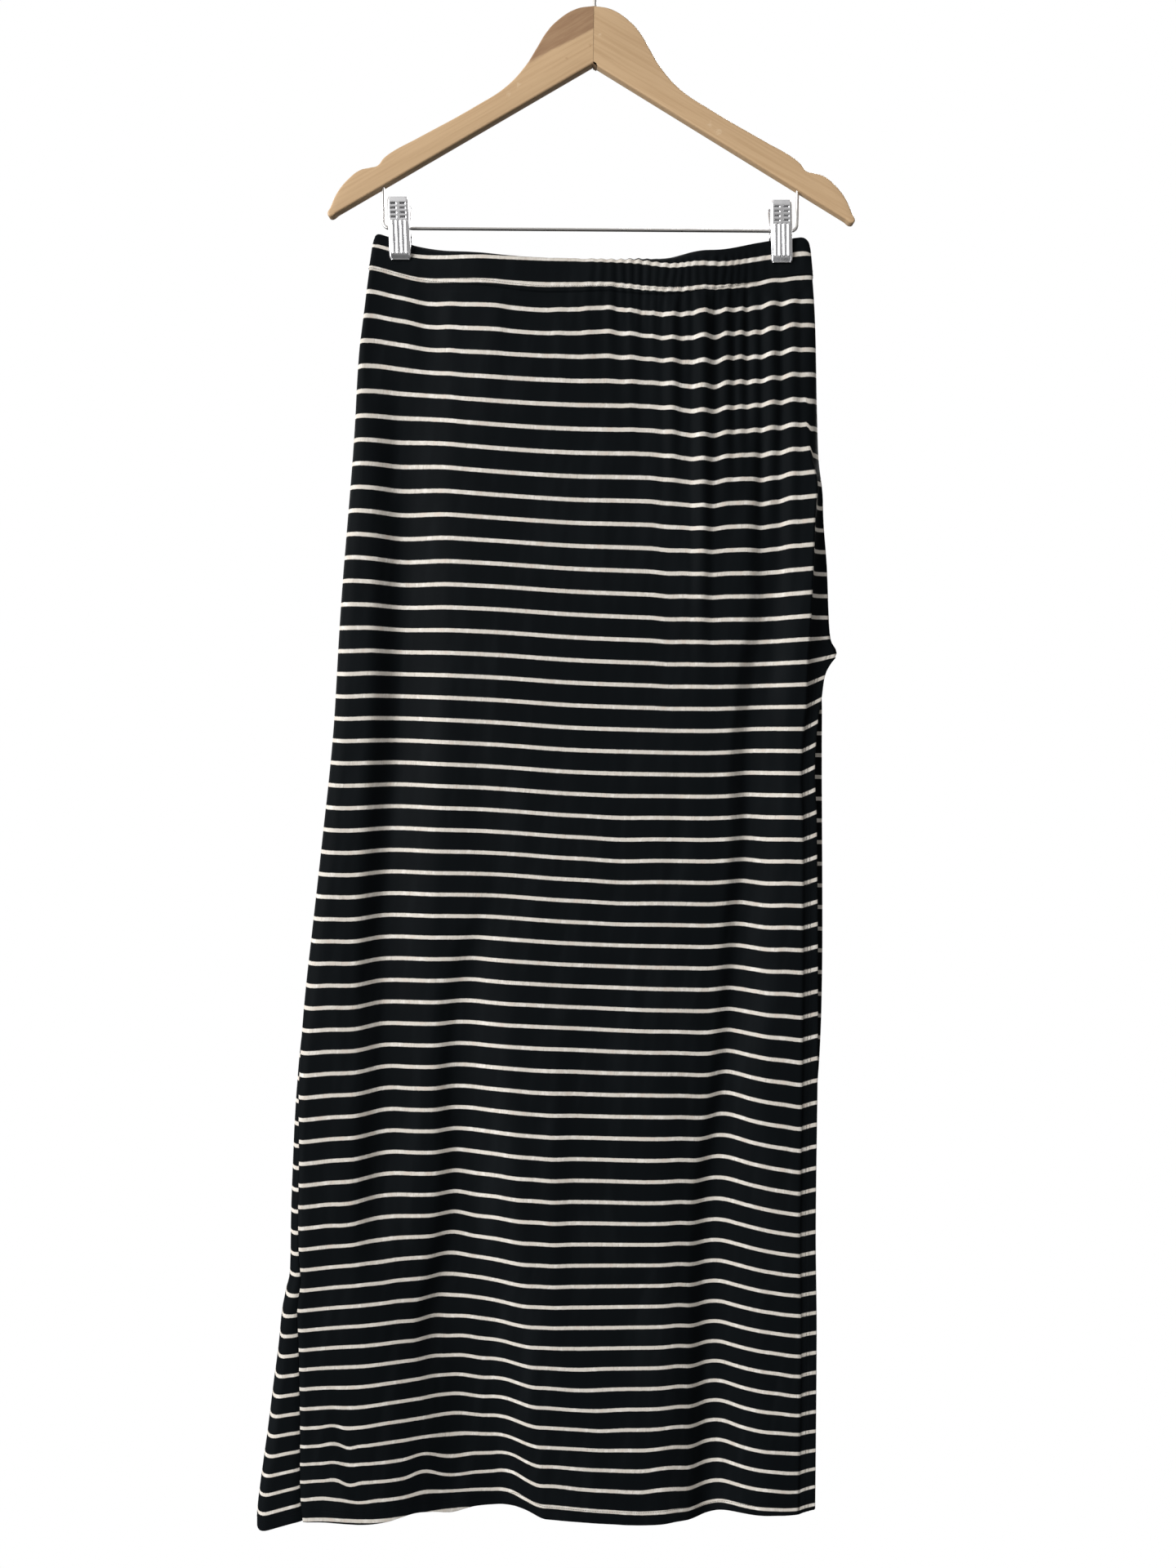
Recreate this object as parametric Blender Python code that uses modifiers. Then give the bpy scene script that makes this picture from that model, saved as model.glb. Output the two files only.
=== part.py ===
# A striped jersey maxi skirt with one side slit, hung by its waistband from two spring
# clips on the wire bar of a wooden hanger. Blender 4.5. Metres, +Z up, +X to the right
# as seen from the front, which faces -Y. The origin is the inside top of the hook's
# crook, where a rail would carry it.
#
# Inside this file lengths are in millimetres and MM turns them into metres.
# "Level" is the distance down the cloth from the top of the waistband.

import math

import bmesh
import bpy
from mathutils import Matrix

MM = 0.001
GAP = 0.4                        # left between neighbouring pieces
SEAM_GAP = 0.6                   # between the panels' edges where they are sewn

# ---- driving sizes ---------------------------------------------------------------
CLOTH_WALL = 1.6
BAND_WALL = 2.4
BAND_WIDTH = 30.0                # the turned casing
ROLL_LEVEL = 14.0                # above this level the casing rolls back at the middle
ROLL_RADIUS = 3.2
ROLL_LIMIT = 1.6                 # radians
ROLL_CENTRE, ROLL_FLAT, ROLL_FADE = -21.0, 51.0, 74.0
# across, how much of the casing stands above ROLL_LEVEL: it isn't turned quite straight
TURN_SCALE = ((-180, 0.82), (175, 1.12))
WAIST_CORNERS = ((-179.0, 4.0), (173.5, 8.0))     # across, radius of the rounded top corner
WAIST_HEIGHT = -258.0            # height of level 0 where the cloth has no lift
SLIT_LEVEL = 326.0
STRIP_CLEAR = 1.0                # keeps the strip's wall off the back's end face
SLIT_RISE, SLIT_RISE_REACH = 5.5, 36.0       # the slit's stitched edge draws up
HEM_REACH = 1000.0               # below this level the rows bend to follow the hem
# across, level of the hem
HEM_FRONT = ((-300, 1085), (-160, 1085), (-115, 1081), (-70, 1078), (40, 1077),
             (110, 1075), (190, 1072))
HEM_BACK = ((-300, 1088), (0, 1084), (200, 1080))

# Clips: centre across, height of the bar there, and how wide the pinch spreads.
CLIPS = {"left": (-158.8, -237.5), "right": (150.4, -239.8)}
PINCH_DEPTH, PINCH_FLAT, PINCH_SPREAD, PINCH_END = 1.6, 10.0, 60.0, 220.0

# ---- shape of the hanging cloth ----------------------------------------------------
# level, left fold of the tube
LEFT_EDGE = ((0, -179), (60, -188), (150, -198), (300, -212), (400, -220), (500, -231),
             (600, -244), (690, -255), (780, -259.5), (848, -262.5), (905, -275),
             (950, -280), (1000, -285), (1060, -297), (1100, -297))
# level, radius of that fold
LEFT_TURN = ((0, 2.2), (60, 3.0), (150, 9), (250, 12), (1100, 12))
# level, how far round the front the left seam has travelled
LEFT_SEAM = ((0, 0), (600, 0), (680, 8), (742, 14), (831, 17), (868, 23), (949, 33),
             (1016, 41), (1100, 54))
# level, edge across, crease across, edge depth, 1 where the strip beyond the crease
# steps back before it runs outward
RIGHT_FRONT = ((0, 173.5, 169.5, 0, 0), (60, 179, 170, 0, 0), (130, 182, 171, -2, 0),
               (165, 184, 176, -8, 0.3), (185, 186, 181, -13, 1),
               (245, 192.5, 179.5, -7, 1), (293, 195, 178, 3, 1),
               (311, 197, 177, 9, 1), (326, 202, 176, 13, 1), (343, 192.5, 175.5, 13, 1),
               (362, 189, 175, 12, 1), (381, 186, 173, 12, 1), (421, 183.5, 171, 12, 1),
               (460, 185.5, 173, 12, 1), (632, 188, 175, 12, 1), (806, 188.5, 175, 12, 1),
               (900, 190.5, 177, 12, 1), (1100, 191.5, 178, 12, 1))
# level, edge across, edge depth (behind the middle plane is negative)
RIGHT_BACK = ((0, 173.5, 0), (60, 179, 0), (130, 182, -2), (165, 184, -8),
              (185, 186, -13), (245, 192.5, -7), (293, 195, 3), (311, 197, 9),
              (326, 202, 13), (338, 194, 5), (350, 188, -2), (365, 188, -8),
              (380, 192, -12), (434, 194, -14), (531, 196, -14), (602, 196.5, -14),
              (650, 195.5, -14), (720, 192, -15), (1100, 191, -20))
# level, depth in front of and behind the middle plane
BELLY = ((0, 9, 9), (30, 9, 9), (150, 13, 12), (300, 15, 14), (700, 15, 16),
         (1100, 15, 21))
# Soft folds that set the cloth back: across at the start, across at the hem, start
# level, half width left, half width right, depth at the hem
FRONT_FOLDS = ((-120, -84, 500, 110, 44, 21), (104, 108, 520, 52, 44, 12))
BACK_FOLDS = ((-150, -190, 480, 70, 60, 11), (-10, 20, 520, 80, 70, 9),
              (110, 120, 560, 50, 45, 7))
# Small gathers that stand out below the casing: across, half width, height, level
# where they fade out
FRONT_GATHERS = ((-150, 14, 1.2, 150), (-118, 12, 1.4, 170), (-80, 12, 1.0, 130),
                 (30, 14, 1.4, 180), (63, 11, 3.0, 230), (88, 12, 4.5, 360),
                 (107, 9, 2.6, 200), (119, 8, 2.2, 180), (131, 8, 2.6, 220),
                 (144, 12, 4.2, 560), (161, 10, 2.8, 300))
BACK_GATHERS = ((-140, 13, 3.2, 300), (-112, 10, 2.4, 200), (-88, 12, 3.6, 340),
                (-40, 14, 1.6, 180), (24, 14, 2.0, 200), (70, 12, 3.4, 280),
                (98, 10, 2.6, 220), (126, 12, 3.6, 380))
GATHER_START, GATHER_RISE = 20.0, 40.0
GATHER_HOLD = 0.35               # part of a gather's length that keeps its full height
FOLD_END, FOLD_GROWTH = 1100.0, 0.8          # level and power of the long folds' growth
# Where the flare steps out on the left, it lies behind the seam: level, set back
LEFT_STEP = ((0, 0), (845, 0), (868, 12), (905, 9), (950, 3), (1000, 0), (1100, 0))
LEFT_STEP_REACH = 14.0
# Lift of the grain, in columns across the front
LIFT_ACROSS = (-292, -250, -200, -140, -80, -20, 40, 95, 135, 180)
LIFT = ((12, (20, 20, 20, 9.5, 7, 5, 3.5, 3, 7.5, 12)),
        (123, (12, 12, 11, 7.5, 3, 0, -1.5, -4, -0.5, 5)),
        (290, (6, 6, 5, 3, 0.5, -3.5, -6, -7.5, -7.5, -4.5)),
        (400, (4, 4, 4, 3, 0.5, -3.5, -5.5, -6.5, -5, -5)),
        (567, (0, 1, 3, 4.5, 4, 0.5, -1.5, -3, -3.5, -5.5)),
        (789, (-8, -5.5, 0, 2, 1, -0.5, -1.5, -1.5, -5, -11)),
        (880, (-8, -4, 0.5, 3, -0.5, -1, 0, 0, -4, -8.5)),
        (1011, (-4, 4.5, 6, 7, 4, 2, 1, 2.5, -0.5, -2.5)),
        (1067, (1, 11.5, 10.5, 11, 7, 3, -0.5, 1, 2.5, 4)))

# ---- mesh density --------------------------------------------------------------------
# runs of (end fraction, cells) between the seam and the crease; the first cell is short,
# so that both walls leave a seam in the same direction
FRONT_COLUMNS = ((0.003, 1), (0.05, 3), (0.58, 16), (1.0, 24))
BACK_COLUMNS = ((0.003, 1), (0.13, 6), (1.0, 19))
BAND_COLUMNS = ((0.003, 1), (0.04, 3), (1.0, 24))
STRIP_STATIONS = (0.3, 0.6, 0.88, 1.0)
# runs of (end level, cells) down the panels
PANEL_ROWS = ((290, 8), (362, 6), (840, 9), (1000, 4), (1072, 4))
BAND_ROWS = (0.0, 9.0, 11.5, ROLL_LEVEL, 22.0, BAND_WIDTH)
# Each panel is made in tiles a hair apart, because a collision hull over a whole panel
# would fill the hollow behind its folds: name, row or column of the mesh where it ends
TILE_ROWS = (("top", 8), ("hip", 18), ("knee", 23), ("hem", None))
FRONT_TILES = (("left", 20), ("right", None))
BACK_TILES = (("left", 14), ("right", None))

# ---- hanger ----------------------------------------------------------------------------
WOOD_HALF_THICKNESS = 4.5
WOOD_EDGE_ROUND = 1.4
HANGER_ROLL = math.radians(0.7)  # its right end hangs a little lower
# Outline of the right arm, clockwise from the top of the middle joint. Smooth points
# have 1, corners 0.
ARM_OUTLINE = ((0, -65.3, 0), (14.5, -67.9, 1), (30, -77.6, 1), (38, -86.2, 1),
               (46, -99, 1), (54, -111.5, 1), (70, -128.5, 1), (94, -143.8, 1),
               (141, -169.4, 1), (163, -181.2, 1), (169, -185.8, 1), (174, -191.6, 1),
               (180, -193.2, 1), (188, -195.2, 1), (197, -201.8, 1), (206.5, -213, 1),
               (212, -224.5, 1), (214.4, -230.6, 1), (212.2, -232.2, 1), (206, -228.7, 0),
               (0, -110, 0))
HOOK_WIRE = 3.6
HOOK_CROOK = 19.0                # inside radius
HOOK_SHANK_END = -86.0
HOOK_CROOK_START = -32.0         # degrees, counter-clockwise from +X
HOOK_TIP_ANGLE = 200.0
BAR_WIRE = 2.8
BAR_ENDS = (-172.6, 165.2)       # where it turns up into the wood
BAR_BEND = 5.5
BAR_TOP = -196.0
HOLE_CLEAR = 0.3                 # round the wires in the wood
BAR_HOLE_MOUTH, HOOK_HOLE_MOUTH = -230.0, -50.0

JAW_WIDTH = 16.6
JAW_PLATE = 1.2
JAW_ABOVE_BAR = 21.1
JAW_LENGTH = 47.4
JAW_LIP = 3.4                    # inner face of the lip, from the middle plane
JAW_TILT = math.radians(8.0)
# distance up from the lip, how far the side flange reaches in
JAW_FLANGE = ((0, 0.8), (8, 1.2), (19, 2.0), (23, 4.6), (31, 5.2), (39, 3.0), (47.4, 1.2))
SPRING_RADIUS, SPRING_LENGTH = 4.4, 11.0

COLOURS = {
    "skirt_front": ((0.010, 0.011, 0.014), 0.85, 0.0),
    "skirt_back": ((0.010, 0.011, 0.014), 0.85, 0.0),
    "waistband": ((0.010, 0.011, 0.014), 0.85, 0.0),
    "hanger_arm": ((0.58, 0.38, 0.21), 0.45, 0.0),
    "hook": ((0.62, 0.62, 0.63), 0.25, 1.0),
    "clip_bar": ((0.62, 0.62, 0.63), 0.25, 1.0),
    "clip": ((0.72, 0.72, 0.73), 0.22, 1.0),
}


def clear_scene():
    for thing in list(bpy.data.objects):
        bpy.data.objects.remove(thing, do_unlink=True)


def make_collection(name):
    collection = bpy.data.collections.new(name)
    bpy.context.scene.collection.children.link(collection)
    return collection


# ---- interpolation -------------------------------------------------------------------
def smooth(t):
    t = min(max(t, 0.0), 1.0)
    return t * t * (3 - 2 * t)


def through(knots, values, at):
    """A smooth curve through the values, level beyond both ends."""
    if at <= knots[0]:
        return values[0]
    if at >= knots[-1]:
        return values[-1]
    last = len(knots) - 1
    i = max(k for k in range(last) if knots[k] <= at)

    def slope(k):
        low, high = max(k - 1, 0), min(k + 1, last)
        return (values[high] - values[low]) / (knots[high] - knots[low])

    span = knots[i + 1] - knots[i]
    t = (at - knots[i]) / span
    a = (1 + 2 * t) * (1 - t) ** 2
    b = t * (1 - t) ** 2 * span
    c = t * t * (3 - 2 * t)
    d = t * t * (t - 1) * span
    return a * values[i] + b * slope(i) + c * values[i + 1] + d * slope(i + 1)


def table(rows, column, level):
    return through([row[0] for row in rows], [row[column] for row in rows], level)


def bump(distance, reach):
    return smooth(1 - abs(distance) / reach)


# ---- the cloth's surface ---------------------------------------------------------------
def lift(x, level):
    levels = [row[0] for row in LIFT]
    columns = [through(levels, [row[1][i] for row in LIFT], level)
               for i in range(len(LIFT_ACROSS))]
    return through(LIFT_ACROSS, columns, x)


def pinch(x, level):
    fade = 1 - smooth((level - BAND_WIDTH) / (PINCH_END - BAND_WIDTH))
    near = max(1 - smooth((abs(x - centre) - PINCH_FLAT) / PINCH_SPREAD)
               for centre, _ in CLIPS.values())
    return near * fade


def fold_depth(folds, x, level):
    total = 0.0
    for start_x, hem_x, start, left, right, depth in folds:
        t = min(max((level - start) / (FOLD_END - start), 0.0), 1.0)
        offset = x - (start_x + (hem_x - start_x) * t)
        total += depth * t ** FOLD_GROWTH * bump(offset, left if offset < 0 else right)
    return total


def gather_height(gathers, x, level):
    total = 0.0
    for centre, reach, height, end in gathers:
        rise = smooth((level - GATHER_START) / GATHER_RISE)
        fade = 1 - smooth((level / end - GATHER_HOLD) / (1 - GATHER_HOLD))
        total += height * rise * fade * bump(x - centre, reach)
    return total


def cloth_depth(x, level, is_front):
    """Distance of the wall's middle from the middle plane."""
    belly = table(BELLY, 1 if is_front else 2, level)
    folds = FRONT_FOLDS if is_front else BACK_FOLDS
    gathers = FRONT_GATHERS if is_front else BACK_GATHERS
    held = belly + (PINCH_DEPTH - belly) * pinch(x, level)
    return held - fold_depth(folds, x, level) + gather_height(gathers, x, level)


def along_fold(level, distance, is_front):
    """The point at a distance from the tube's left fold, round its front or back."""
    left = table(LEFT_EDGE, 1, level)
    radius = table(LEFT_TURN, 1, level)
    corner = math.pi / 2 * radius
    side = -1 if is_front else 1
    if distance < corner:
        angle = distance / radius
        x = left + radius * (1 - math.cos(angle))
        y = side * cloth_depth(left + radius, level, is_front) * math.sin(angle)
    else:
        x = left + radius + distance - corner
        y = side * cloth_depth(x, level, is_front)
    if is_front or distance < LEFT_STEP_REACH:
        y += table(LEFT_STEP, 1, level) * (1 - smooth(distance / LEFT_STEP_REACH))
    return x, y


def crease_distance(level, crease_x):
    radius = table(LEFT_TURN, 1, level)
    return crease_x - table(LEFT_EDGE, 1, level) - radius + math.pi / 2 * radius


def front_strip(level, t):
    """The narrow strip from the crease (t=0) to the front's right edge (t=1)."""
    edge_x, crease_x, edge_depth, inward = (table(RIGHT_FRONT, i, level)
                                            for i in range(1, 5))
    inward = min(max(inward, 0.0), 1.0)
    start_y = -cloth_depth(crease_x, level, True)
    end_y = -edge_depth - SEAM_GAP / 2 - STRIP_CLEAR * inward
    turn = t * math.pi / 2
    out, back = math.sin(turn), 1 - math.cos(turn)
    x = crease_x + (edge_x - crease_x) * (out + (back - out) * inward)
    y = start_y + (end_y - start_y) * (back + (out - back) * inward)
    return x, y


def back_strip(level, t):
    edge_x, edge_depth = (table(RIGHT_BACK, i, level) for i in (1, 2))
    radius = table(LEFT_TURN, 1, level)
    start_x = edge_x - radius
    start_y = cloth_depth(start_x, level, False)
    end_y = -edge_depth + SEAM_GAP / 2
    turn = t * math.pi / 2
    x = start_x + radius * math.sin(turn)
    return x, start_y + (end_y - start_y) * (1 - math.cos(turn))


def cloth_height(x, level, strip=0.0):
    start = SLIT_LEVEL - SLIT_RISE_REACH
    rise = SLIT_RISE * smooth((level - start) / SLIT_RISE_REACH) * strip * strip
    return WAIST_HEIGHT - level + lift(x, level) + rise


def fractions(runs):
    """Column fractions from 0 to 1, in runs of even cells."""
    values, start = [0.0], 0.0
    for end, cells in runs:
        values += [start + (end - start) * (i + 1) / cells for i in range(cells)]
        start = end
    return values


def levels_down(start, runs):
    values = [start]
    for end, cells in runs:
        low = values[-1]
        values += [low + (end - low) * (i + 1) / cells for i in range(cells)]
    return values


def front_stations(level, first):
    """Points across the front at one level, from the left seam to the right edge."""
    crease = crease_distance(level, table(RIGHT_FRONT, 2, level))
    runs = BAND_COLUMNS if level <= BAND_WIDTH else FRONT_COLUMNS
    points = [(*along_fold(level, first + (crease - first) * f, True), 0.0)
              for f in fractions(runs)]
    return points + [(*front_strip(level, t), t) for t in STRIP_STATIONS]


def back_stations(level, first):
    """Points across the back, from the left seam (on the front if first > 0)."""
    radius = table(LEFT_TURN, 1, level)
    last = crease_distance(level, table(RIGHT_BACK, 1, level) - radius)
    runs = BAND_COLUMNS if level <= BAND_WIDTH else BACK_COLUMNS
    points = []
    for f in fractions(runs):
        distance = -first + (last + first) * f
        points.append((*along_fold(level, abs(distance), distance < 0), 0.0))
    return points + [(*back_strip(level, t), 0.0) for t in STRIP_STATIONS]


def grid_mesh(name, rows, closed):
    """A sheet through rows of points; closed joins each row's ends into a ring."""
    bm = bmesh.new()
    grid = [[bm.verts.new((x * MM, y * MM, z * MM)) for x, y, z in row] for row in rows]
    count = len(grid[0])
    for upper, lower in zip(grid, grid[1:]):
        for i in range(count if closed else count - 1):
            j = (i + 1) % count
            bm.faces.new((upper[i], lower[i], lower[j], upper[j]))
    bm.normal_update()
    mesh = bpy.data.meshes.new(name)
    bm.to_mesh(mesh)
    bm.free()
    return mesh


def wall(collection, name, rows, thickness, closed=False, colour=None):
    thing = bpy.data.objects.new(name, grid_mesh(name, rows, closed))
    collection.objects.link(thing)
    solidify = thing.modifiers.new("Wall", "SOLIDIFY")
    solidify.thickness = thickness * MM
    solidify.offset = 0.0
    thing.data.materials.append(material(colour or name))
    thing.data.shade_smooth()
    return thing


def material(name):
    found = bpy.data.materials.get(name)
    if found:
        return found
    made = bpy.data.materials.new(name)
    made.use_nodes = True
    shader = made.node_tree.nodes["Principled BSDF"]
    colour, roughness, metallic = COLOURS[name]
    shader.inputs["Base Color"].default_value = (*colour, 1.0)
    shader.inputs["Roughness"].default_value = roughness
    shader.inputs["Metallic"].default_value = metallic
    return made


# ---- cloth pieces ------------------------------------------------------------------------
def hem_shift(hem, x, level, last):
    """How far a row near the bottom is moved down, so that the last one is the hem."""
    hem_level = through([row[0] for row in hem], [row[1] for row in hem], x)
    return smooth((level - HEM_REACH) / (last - HEM_REACH)) * (hem_level - last)


def panel_rows(stations, seam_side, hem):
    """Rows of points down a panel; seam_side is 1 right of the left seam, -1 left."""
    levels = levels_down(BAND_WIDTH + GAP, PANEL_ROWS)
    rows = []
    for level in levels:
        seam = table(LEFT_SEAM, 1, level) + seam_side * SEAM_GAP / 2
        row = []
        for x, y, strip in stations(level, seam):
            down = level + hem_shift(hem, x, level, levels[-1])
            row.append((x, y, cloth_height(x, down, strip)))
        rows.append(row)
    return rows


def tile_runs(ends, last):
    """(name, first, last) of the tiles that end where the table says."""
    runs, start = [], 0
    for name, end in ends:
        runs.append((name, start, end or last))
        start = end
    return runs


def moved_towards(point, other, distance):
    part = distance / math.dist(point, other)
    return tuple(a + (b - a) * part for a, b in zip(point, other))


def build_panel(collection, name, rows, column_ends, is_front):
    for height_name, top, bottom in tile_runs(TILE_ROWS, len(rows) - 1):
        for side_name, left, right in tile_runs(column_ends, len(rows[0]) - 1):
            tile = [row[left:right + 1] for row in rows[top:bottom + 1]]
            if top > 0:
                tile[0] = [moved_towards(a, b, GAP) for a, b in zip(tile[0], tile[1])]
            if left > 0:
                tile = [[moved_towards(row[0], row[1], GAP)] + row[1:] for row in tile]
            if not is_front:
                tile = [row[::-1] for row in tile]
            tile_name = f"{name}_{height_name}_{side_name}"
            wall(collection, tile_name, tile, CLOTH_WALL, colour=name)


def build_front(collection):
    rows = panel_rows(front_stations, 1, HEM_FRONT)
    build_panel(collection, "skirt_front", rows, FRONT_TILES, True)


def build_back(collection):
    rows = panel_rows(back_stations, -1, HEM_BACK)
    build_panel(collection, "skirt_back", rows, BACK_TILES, False)


def rolled(x, level):
    """How the casing's top edge stands above ROLL_LEVEL and leans back: (up, back)."""
    length = (ROLL_LEVEL - level) * table(TURN_SCALE, 1, x)
    amount = 1 - smooth((abs(x - ROLL_CENTRE) - ROLL_FLAT) / ROLL_FADE)
    bend = max(amount, 0.02) / ROLL_RADIUS
    arc = min(length, ROLL_LIMIT / bend)
    rest = length - arc
    turn = bend * arc
    up = math.sin(turn) / bend + rest * math.cos(turn)
    back = (1 - math.cos(turn)) / bend + rest * math.sin(turn)
    return up, back


def corner_drop(x):
    total = 0.0
    for corner, radius in WAIST_CORNERS:
        short = radius - min(abs(x - corner), radius)
        total += radius - math.sqrt(radius * radius - short * short)
    return total


def build_band(collection):
    rows = []
    for level in BAND_ROWS:
        front = front_stations(level, 0.0)[:-1]
        back = back_stations(level, 0.0)[1:]
        row = []
        for x, y, _ in front + back[::-1]:
            z = cloth_height(x, level)
            if level < ROLL_LEVEL:
                up, lean = rolled(x, level)
                z = cloth_height(x, ROLL_LEVEL) + up
                z -= corner_drop(x) * (1 - level / ROLL_LEVEL)
                y += lean
            row.append((x, y, z))
        rows.append(row)
    return wall(collection, "waistband", rows, BAND_WALL, closed=True)


# ---- hanger --------------------------------------------------------------------------------
def mesh_from(thing, collection):
    """The evaluated object as a plain welded mesh object of the same name."""
    depsgraph = bpy.context.evaluated_depsgraph_get()
    mesh = bpy.data.meshes.new_from_object(thing.evaluated_get(depsgraph))
    bm = bmesh.new()
    bm.from_mesh(mesh)
    bmesh.ops.remove_doubles(bm, verts=bm.verts, dist=0.00001)
    bm.to_mesh(mesh)
    bm.free()
    name = thing.name
    place = thing.matrix_world.copy()
    bpy.data.objects.remove(thing, do_unlink=True)
    made = bpy.data.objects.new(name, mesh)
    made.matrix_world = place
    collection.objects.link(made)
    return made


def cutter(collection, name, radius, x, low, high):
    """An upright rod that cuts a hole at x from height low to high."""
    bpy.ops.mesh.primitive_cylinder_add(
        vertices=12, radius=radius * MM, depth=(high - low) * MM,
        location=(x * MM, 0, (low + high) / 2 * MM))
    rod = bpy.context.active_object
    rod.name = name
    for owner in list(rod.users_collection):
        owner.objects.unlink(rod)
    collection.objects.link(rod)
    rod.hide_render = True
    rod.display_type = "WIRE"
    return rod


def build_arm(collection, cutters, side):
    name = "hanger_arm_right" if side > 0 else "hanger_arm_left"
    curve = bpy.data.curves.new(name, "CURVE")
    curve.dimensions = "2D"
    curve.fill_mode = "BOTH"
    curve.resolution_u = 3
    curve.bevel_depth = WOOD_EDGE_ROUND * MM
    curve.bevel_resolution = 1
    curve.offset = -WOOD_EDGE_ROUND * MM
    curve.extrude = (WOOD_HALF_THICKNESS - WOOD_EDGE_ROUND) * MM
    spline = curve.splines.new("BEZIER")
    spline.bezier_points.add(len(ARM_OUTLINE) - 1)
    spline.use_cyclic_u = True
    for point, (x, z, is_smooth) in zip(spline.bezier_points, ARM_OUTLINE):
        point.co = (side * max(x, GAP / 2) * MM, z * MM, 0)
        kind = "AUTO" if is_smooth else "VECTOR"
        point.handle_left_type = point.handle_right_type = kind
    arm = bpy.data.objects.new(name, curve)
    collection.objects.link(arm)
    upright = Matrix.Rotation(math.radians(90), 4, "X")
    arm.matrix_world = Matrix.Rotation(HANGER_ROLL, 4, "Y") @ upright
    bpy.context.view_layer.update()
    arm = mesh_from(arm, collection)
    arm.data.materials.clear()
    arm.data.materials.append(material("hanger_arm"))

    end = BAR_ENDS[1] if side > 0 else BAR_ENDS[0]
    holes = [cutter(cutters, name + "_bar_hole", BAR_WIRE / 2 + HOLE_CLEAR,
                    end, BAR_HOLE_MOUTH, BAR_TOP + GAP),
             cutter(cutters, name + "_hook_hole", HOOK_WIRE / 2 + HOLE_CLEAR,
                    0, HOOK_SHANK_END - GAP, HOOK_HOLE_MOUTH)]
    for hole in holes:
        cut = arm.modifiers.new(hole.name, "BOOLEAN")
        cut.operation = "DIFFERENCE"
        cut.solver = "EXACT"
        cut.object = hole
    return arm


def wire(collection, name, points, diameter, colour):
    curve = bpy.data.curves.new(name, "CURVE")
    curve.dimensions = "3D"
    curve.bevel_depth = diameter / 2 * MM
    curve.bevel_resolution = 2
    curve.use_fill_caps = True
    spline = curve.splines.new("POLY")
    spline.points.add(len(points) - 1)
    for point, (x, z) in zip(spline.points, points):
        point.co = (x * MM, 0, z * MM, 1)
    thing = bpy.data.objects.new(name, curve)
    collection.objects.link(thing)
    thing.data.materials.append(material(colour))
    return thing


def arc(centre, radius, start, end, cells):
    """Points on an arc, angles in degrees counter-clockwise from +X."""
    points = []
    for i in range(cells + 1):
        angle = math.radians(start + (end - start) * i / cells)
        points.append((centre[0] + radius * math.cos(angle),
                       centre[1] + radius * math.sin(angle)))
    return points


def build_hook(collection):
    """An upright shank, a neck that leans out, then the crook round the rail."""
    radius = HOOK_CROOK + HOOK_WIRE / 2
    crook = arc((0.0, -HOOK_CROOK), radius, HOOK_CROOK_START, HOOK_TIP_ANGLE, 16)
    start_x, start_z = crook[0]
    lean = 90.0 + HOOK_CROOK_START               # degrees, how far the neck turns
    bend = start_x / (1 - math.cos(math.radians(lean)))
    foot_z = start_z - bend * math.sin(math.radians(lean))
    neck = arc((bend, foot_z), bend, 180, 180 - lean, 6)
    points = [(0.0, HOOK_SHANK_END)] + neck[:-1] + crook
    return wire(collection, "hook", points, HOOK_WIRE, "hook")


def build_bar(collection):
    left, right = BAR_ENDS
    low_left, low_right = CLIPS["left"][1], CLIPS["right"][1]
    points = [(left, BAR_TOP)]
    points += arc((left + BAR_BEND, low_left + BAR_BEND), BAR_BEND, 180, 270, 5)
    points += arc((right - BAR_BEND, low_right + BAR_BEND), BAR_BEND, 270, 360, 5)
    points += [(right, BAR_TOP)]
    return wire(collection, "clip_bar", points, BAR_WIRE, "clip_bar")


def build_jaw(collection, side_name, is_front):
    centre, bar = CLIPS[side_name]
    lip_height = bar + JAW_ABOVE_BAR - JAW_LENGTH
    side = -1 if is_front else 1
    half = (JAW_WIDTH - JAW_PLATE) / 2
    rows = []
    for up, reach in JAW_FLANGE:
        y = JAW_LIP + JAW_PLATE / 2 + up * math.sin(JAW_TILT)
        z = lip_height + up * math.cos(JAW_TILT)
        inner = y - reach
        row = [(centre - half, side * inner, z), (centre - half, side * y, z),
               (centre + half, side * y, z), (centre + half, side * inner, z)]
        rows.append(row)
    name = f"clip_{side_name}_{'front' if is_front else 'back'}_jaw"
    return wall(collection, name, rows if is_front else [r[::-1] for r in rows],
                JAW_PLATE, colour="clip")


def build_spring(collection, side_name):
    """The spring's coil round the bar, as a plain sleeve."""
    centre, bar = CLIPS[side_name]
    bore = BAR_WIRE / 2 + 0.35
    profile = ((bore, -1), (bore, 1), (SPRING_RADIUS, 1), (SPRING_RADIUS, -1))
    bm = bmesh.new()
    cells = 12
    rings = []
    for i in range(cells):
        angle = 2 * math.pi * i / cells
        rings.append([bm.verts.new(((centre + end * SPRING_LENGTH / 2) * MM,
                                    radius * math.cos(angle) * MM,
                                    (bar + radius * math.sin(angle)) * MM))
                      for radius, end in profile])
    for ring, after in zip(rings, rings[1:] + rings[:1]):
        for k in range(4):
            n = (k + 1) % 4
            bm.faces.new((ring[k], ring[n], after[n], after[k]))
    bmesh.ops.recalc_face_normals(bm, faces=bm.faces)
    mesh = bpy.data.meshes.new(f"clip_{side_name}_spring")
    bm.to_mesh(mesh)
    bm.free()
    spring = bpy.data.objects.new(f"clip_{side_name}_spring", mesh)
    collection.objects.link(spring)
    mesh.materials.append(material("clip"))
    return spring


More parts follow.
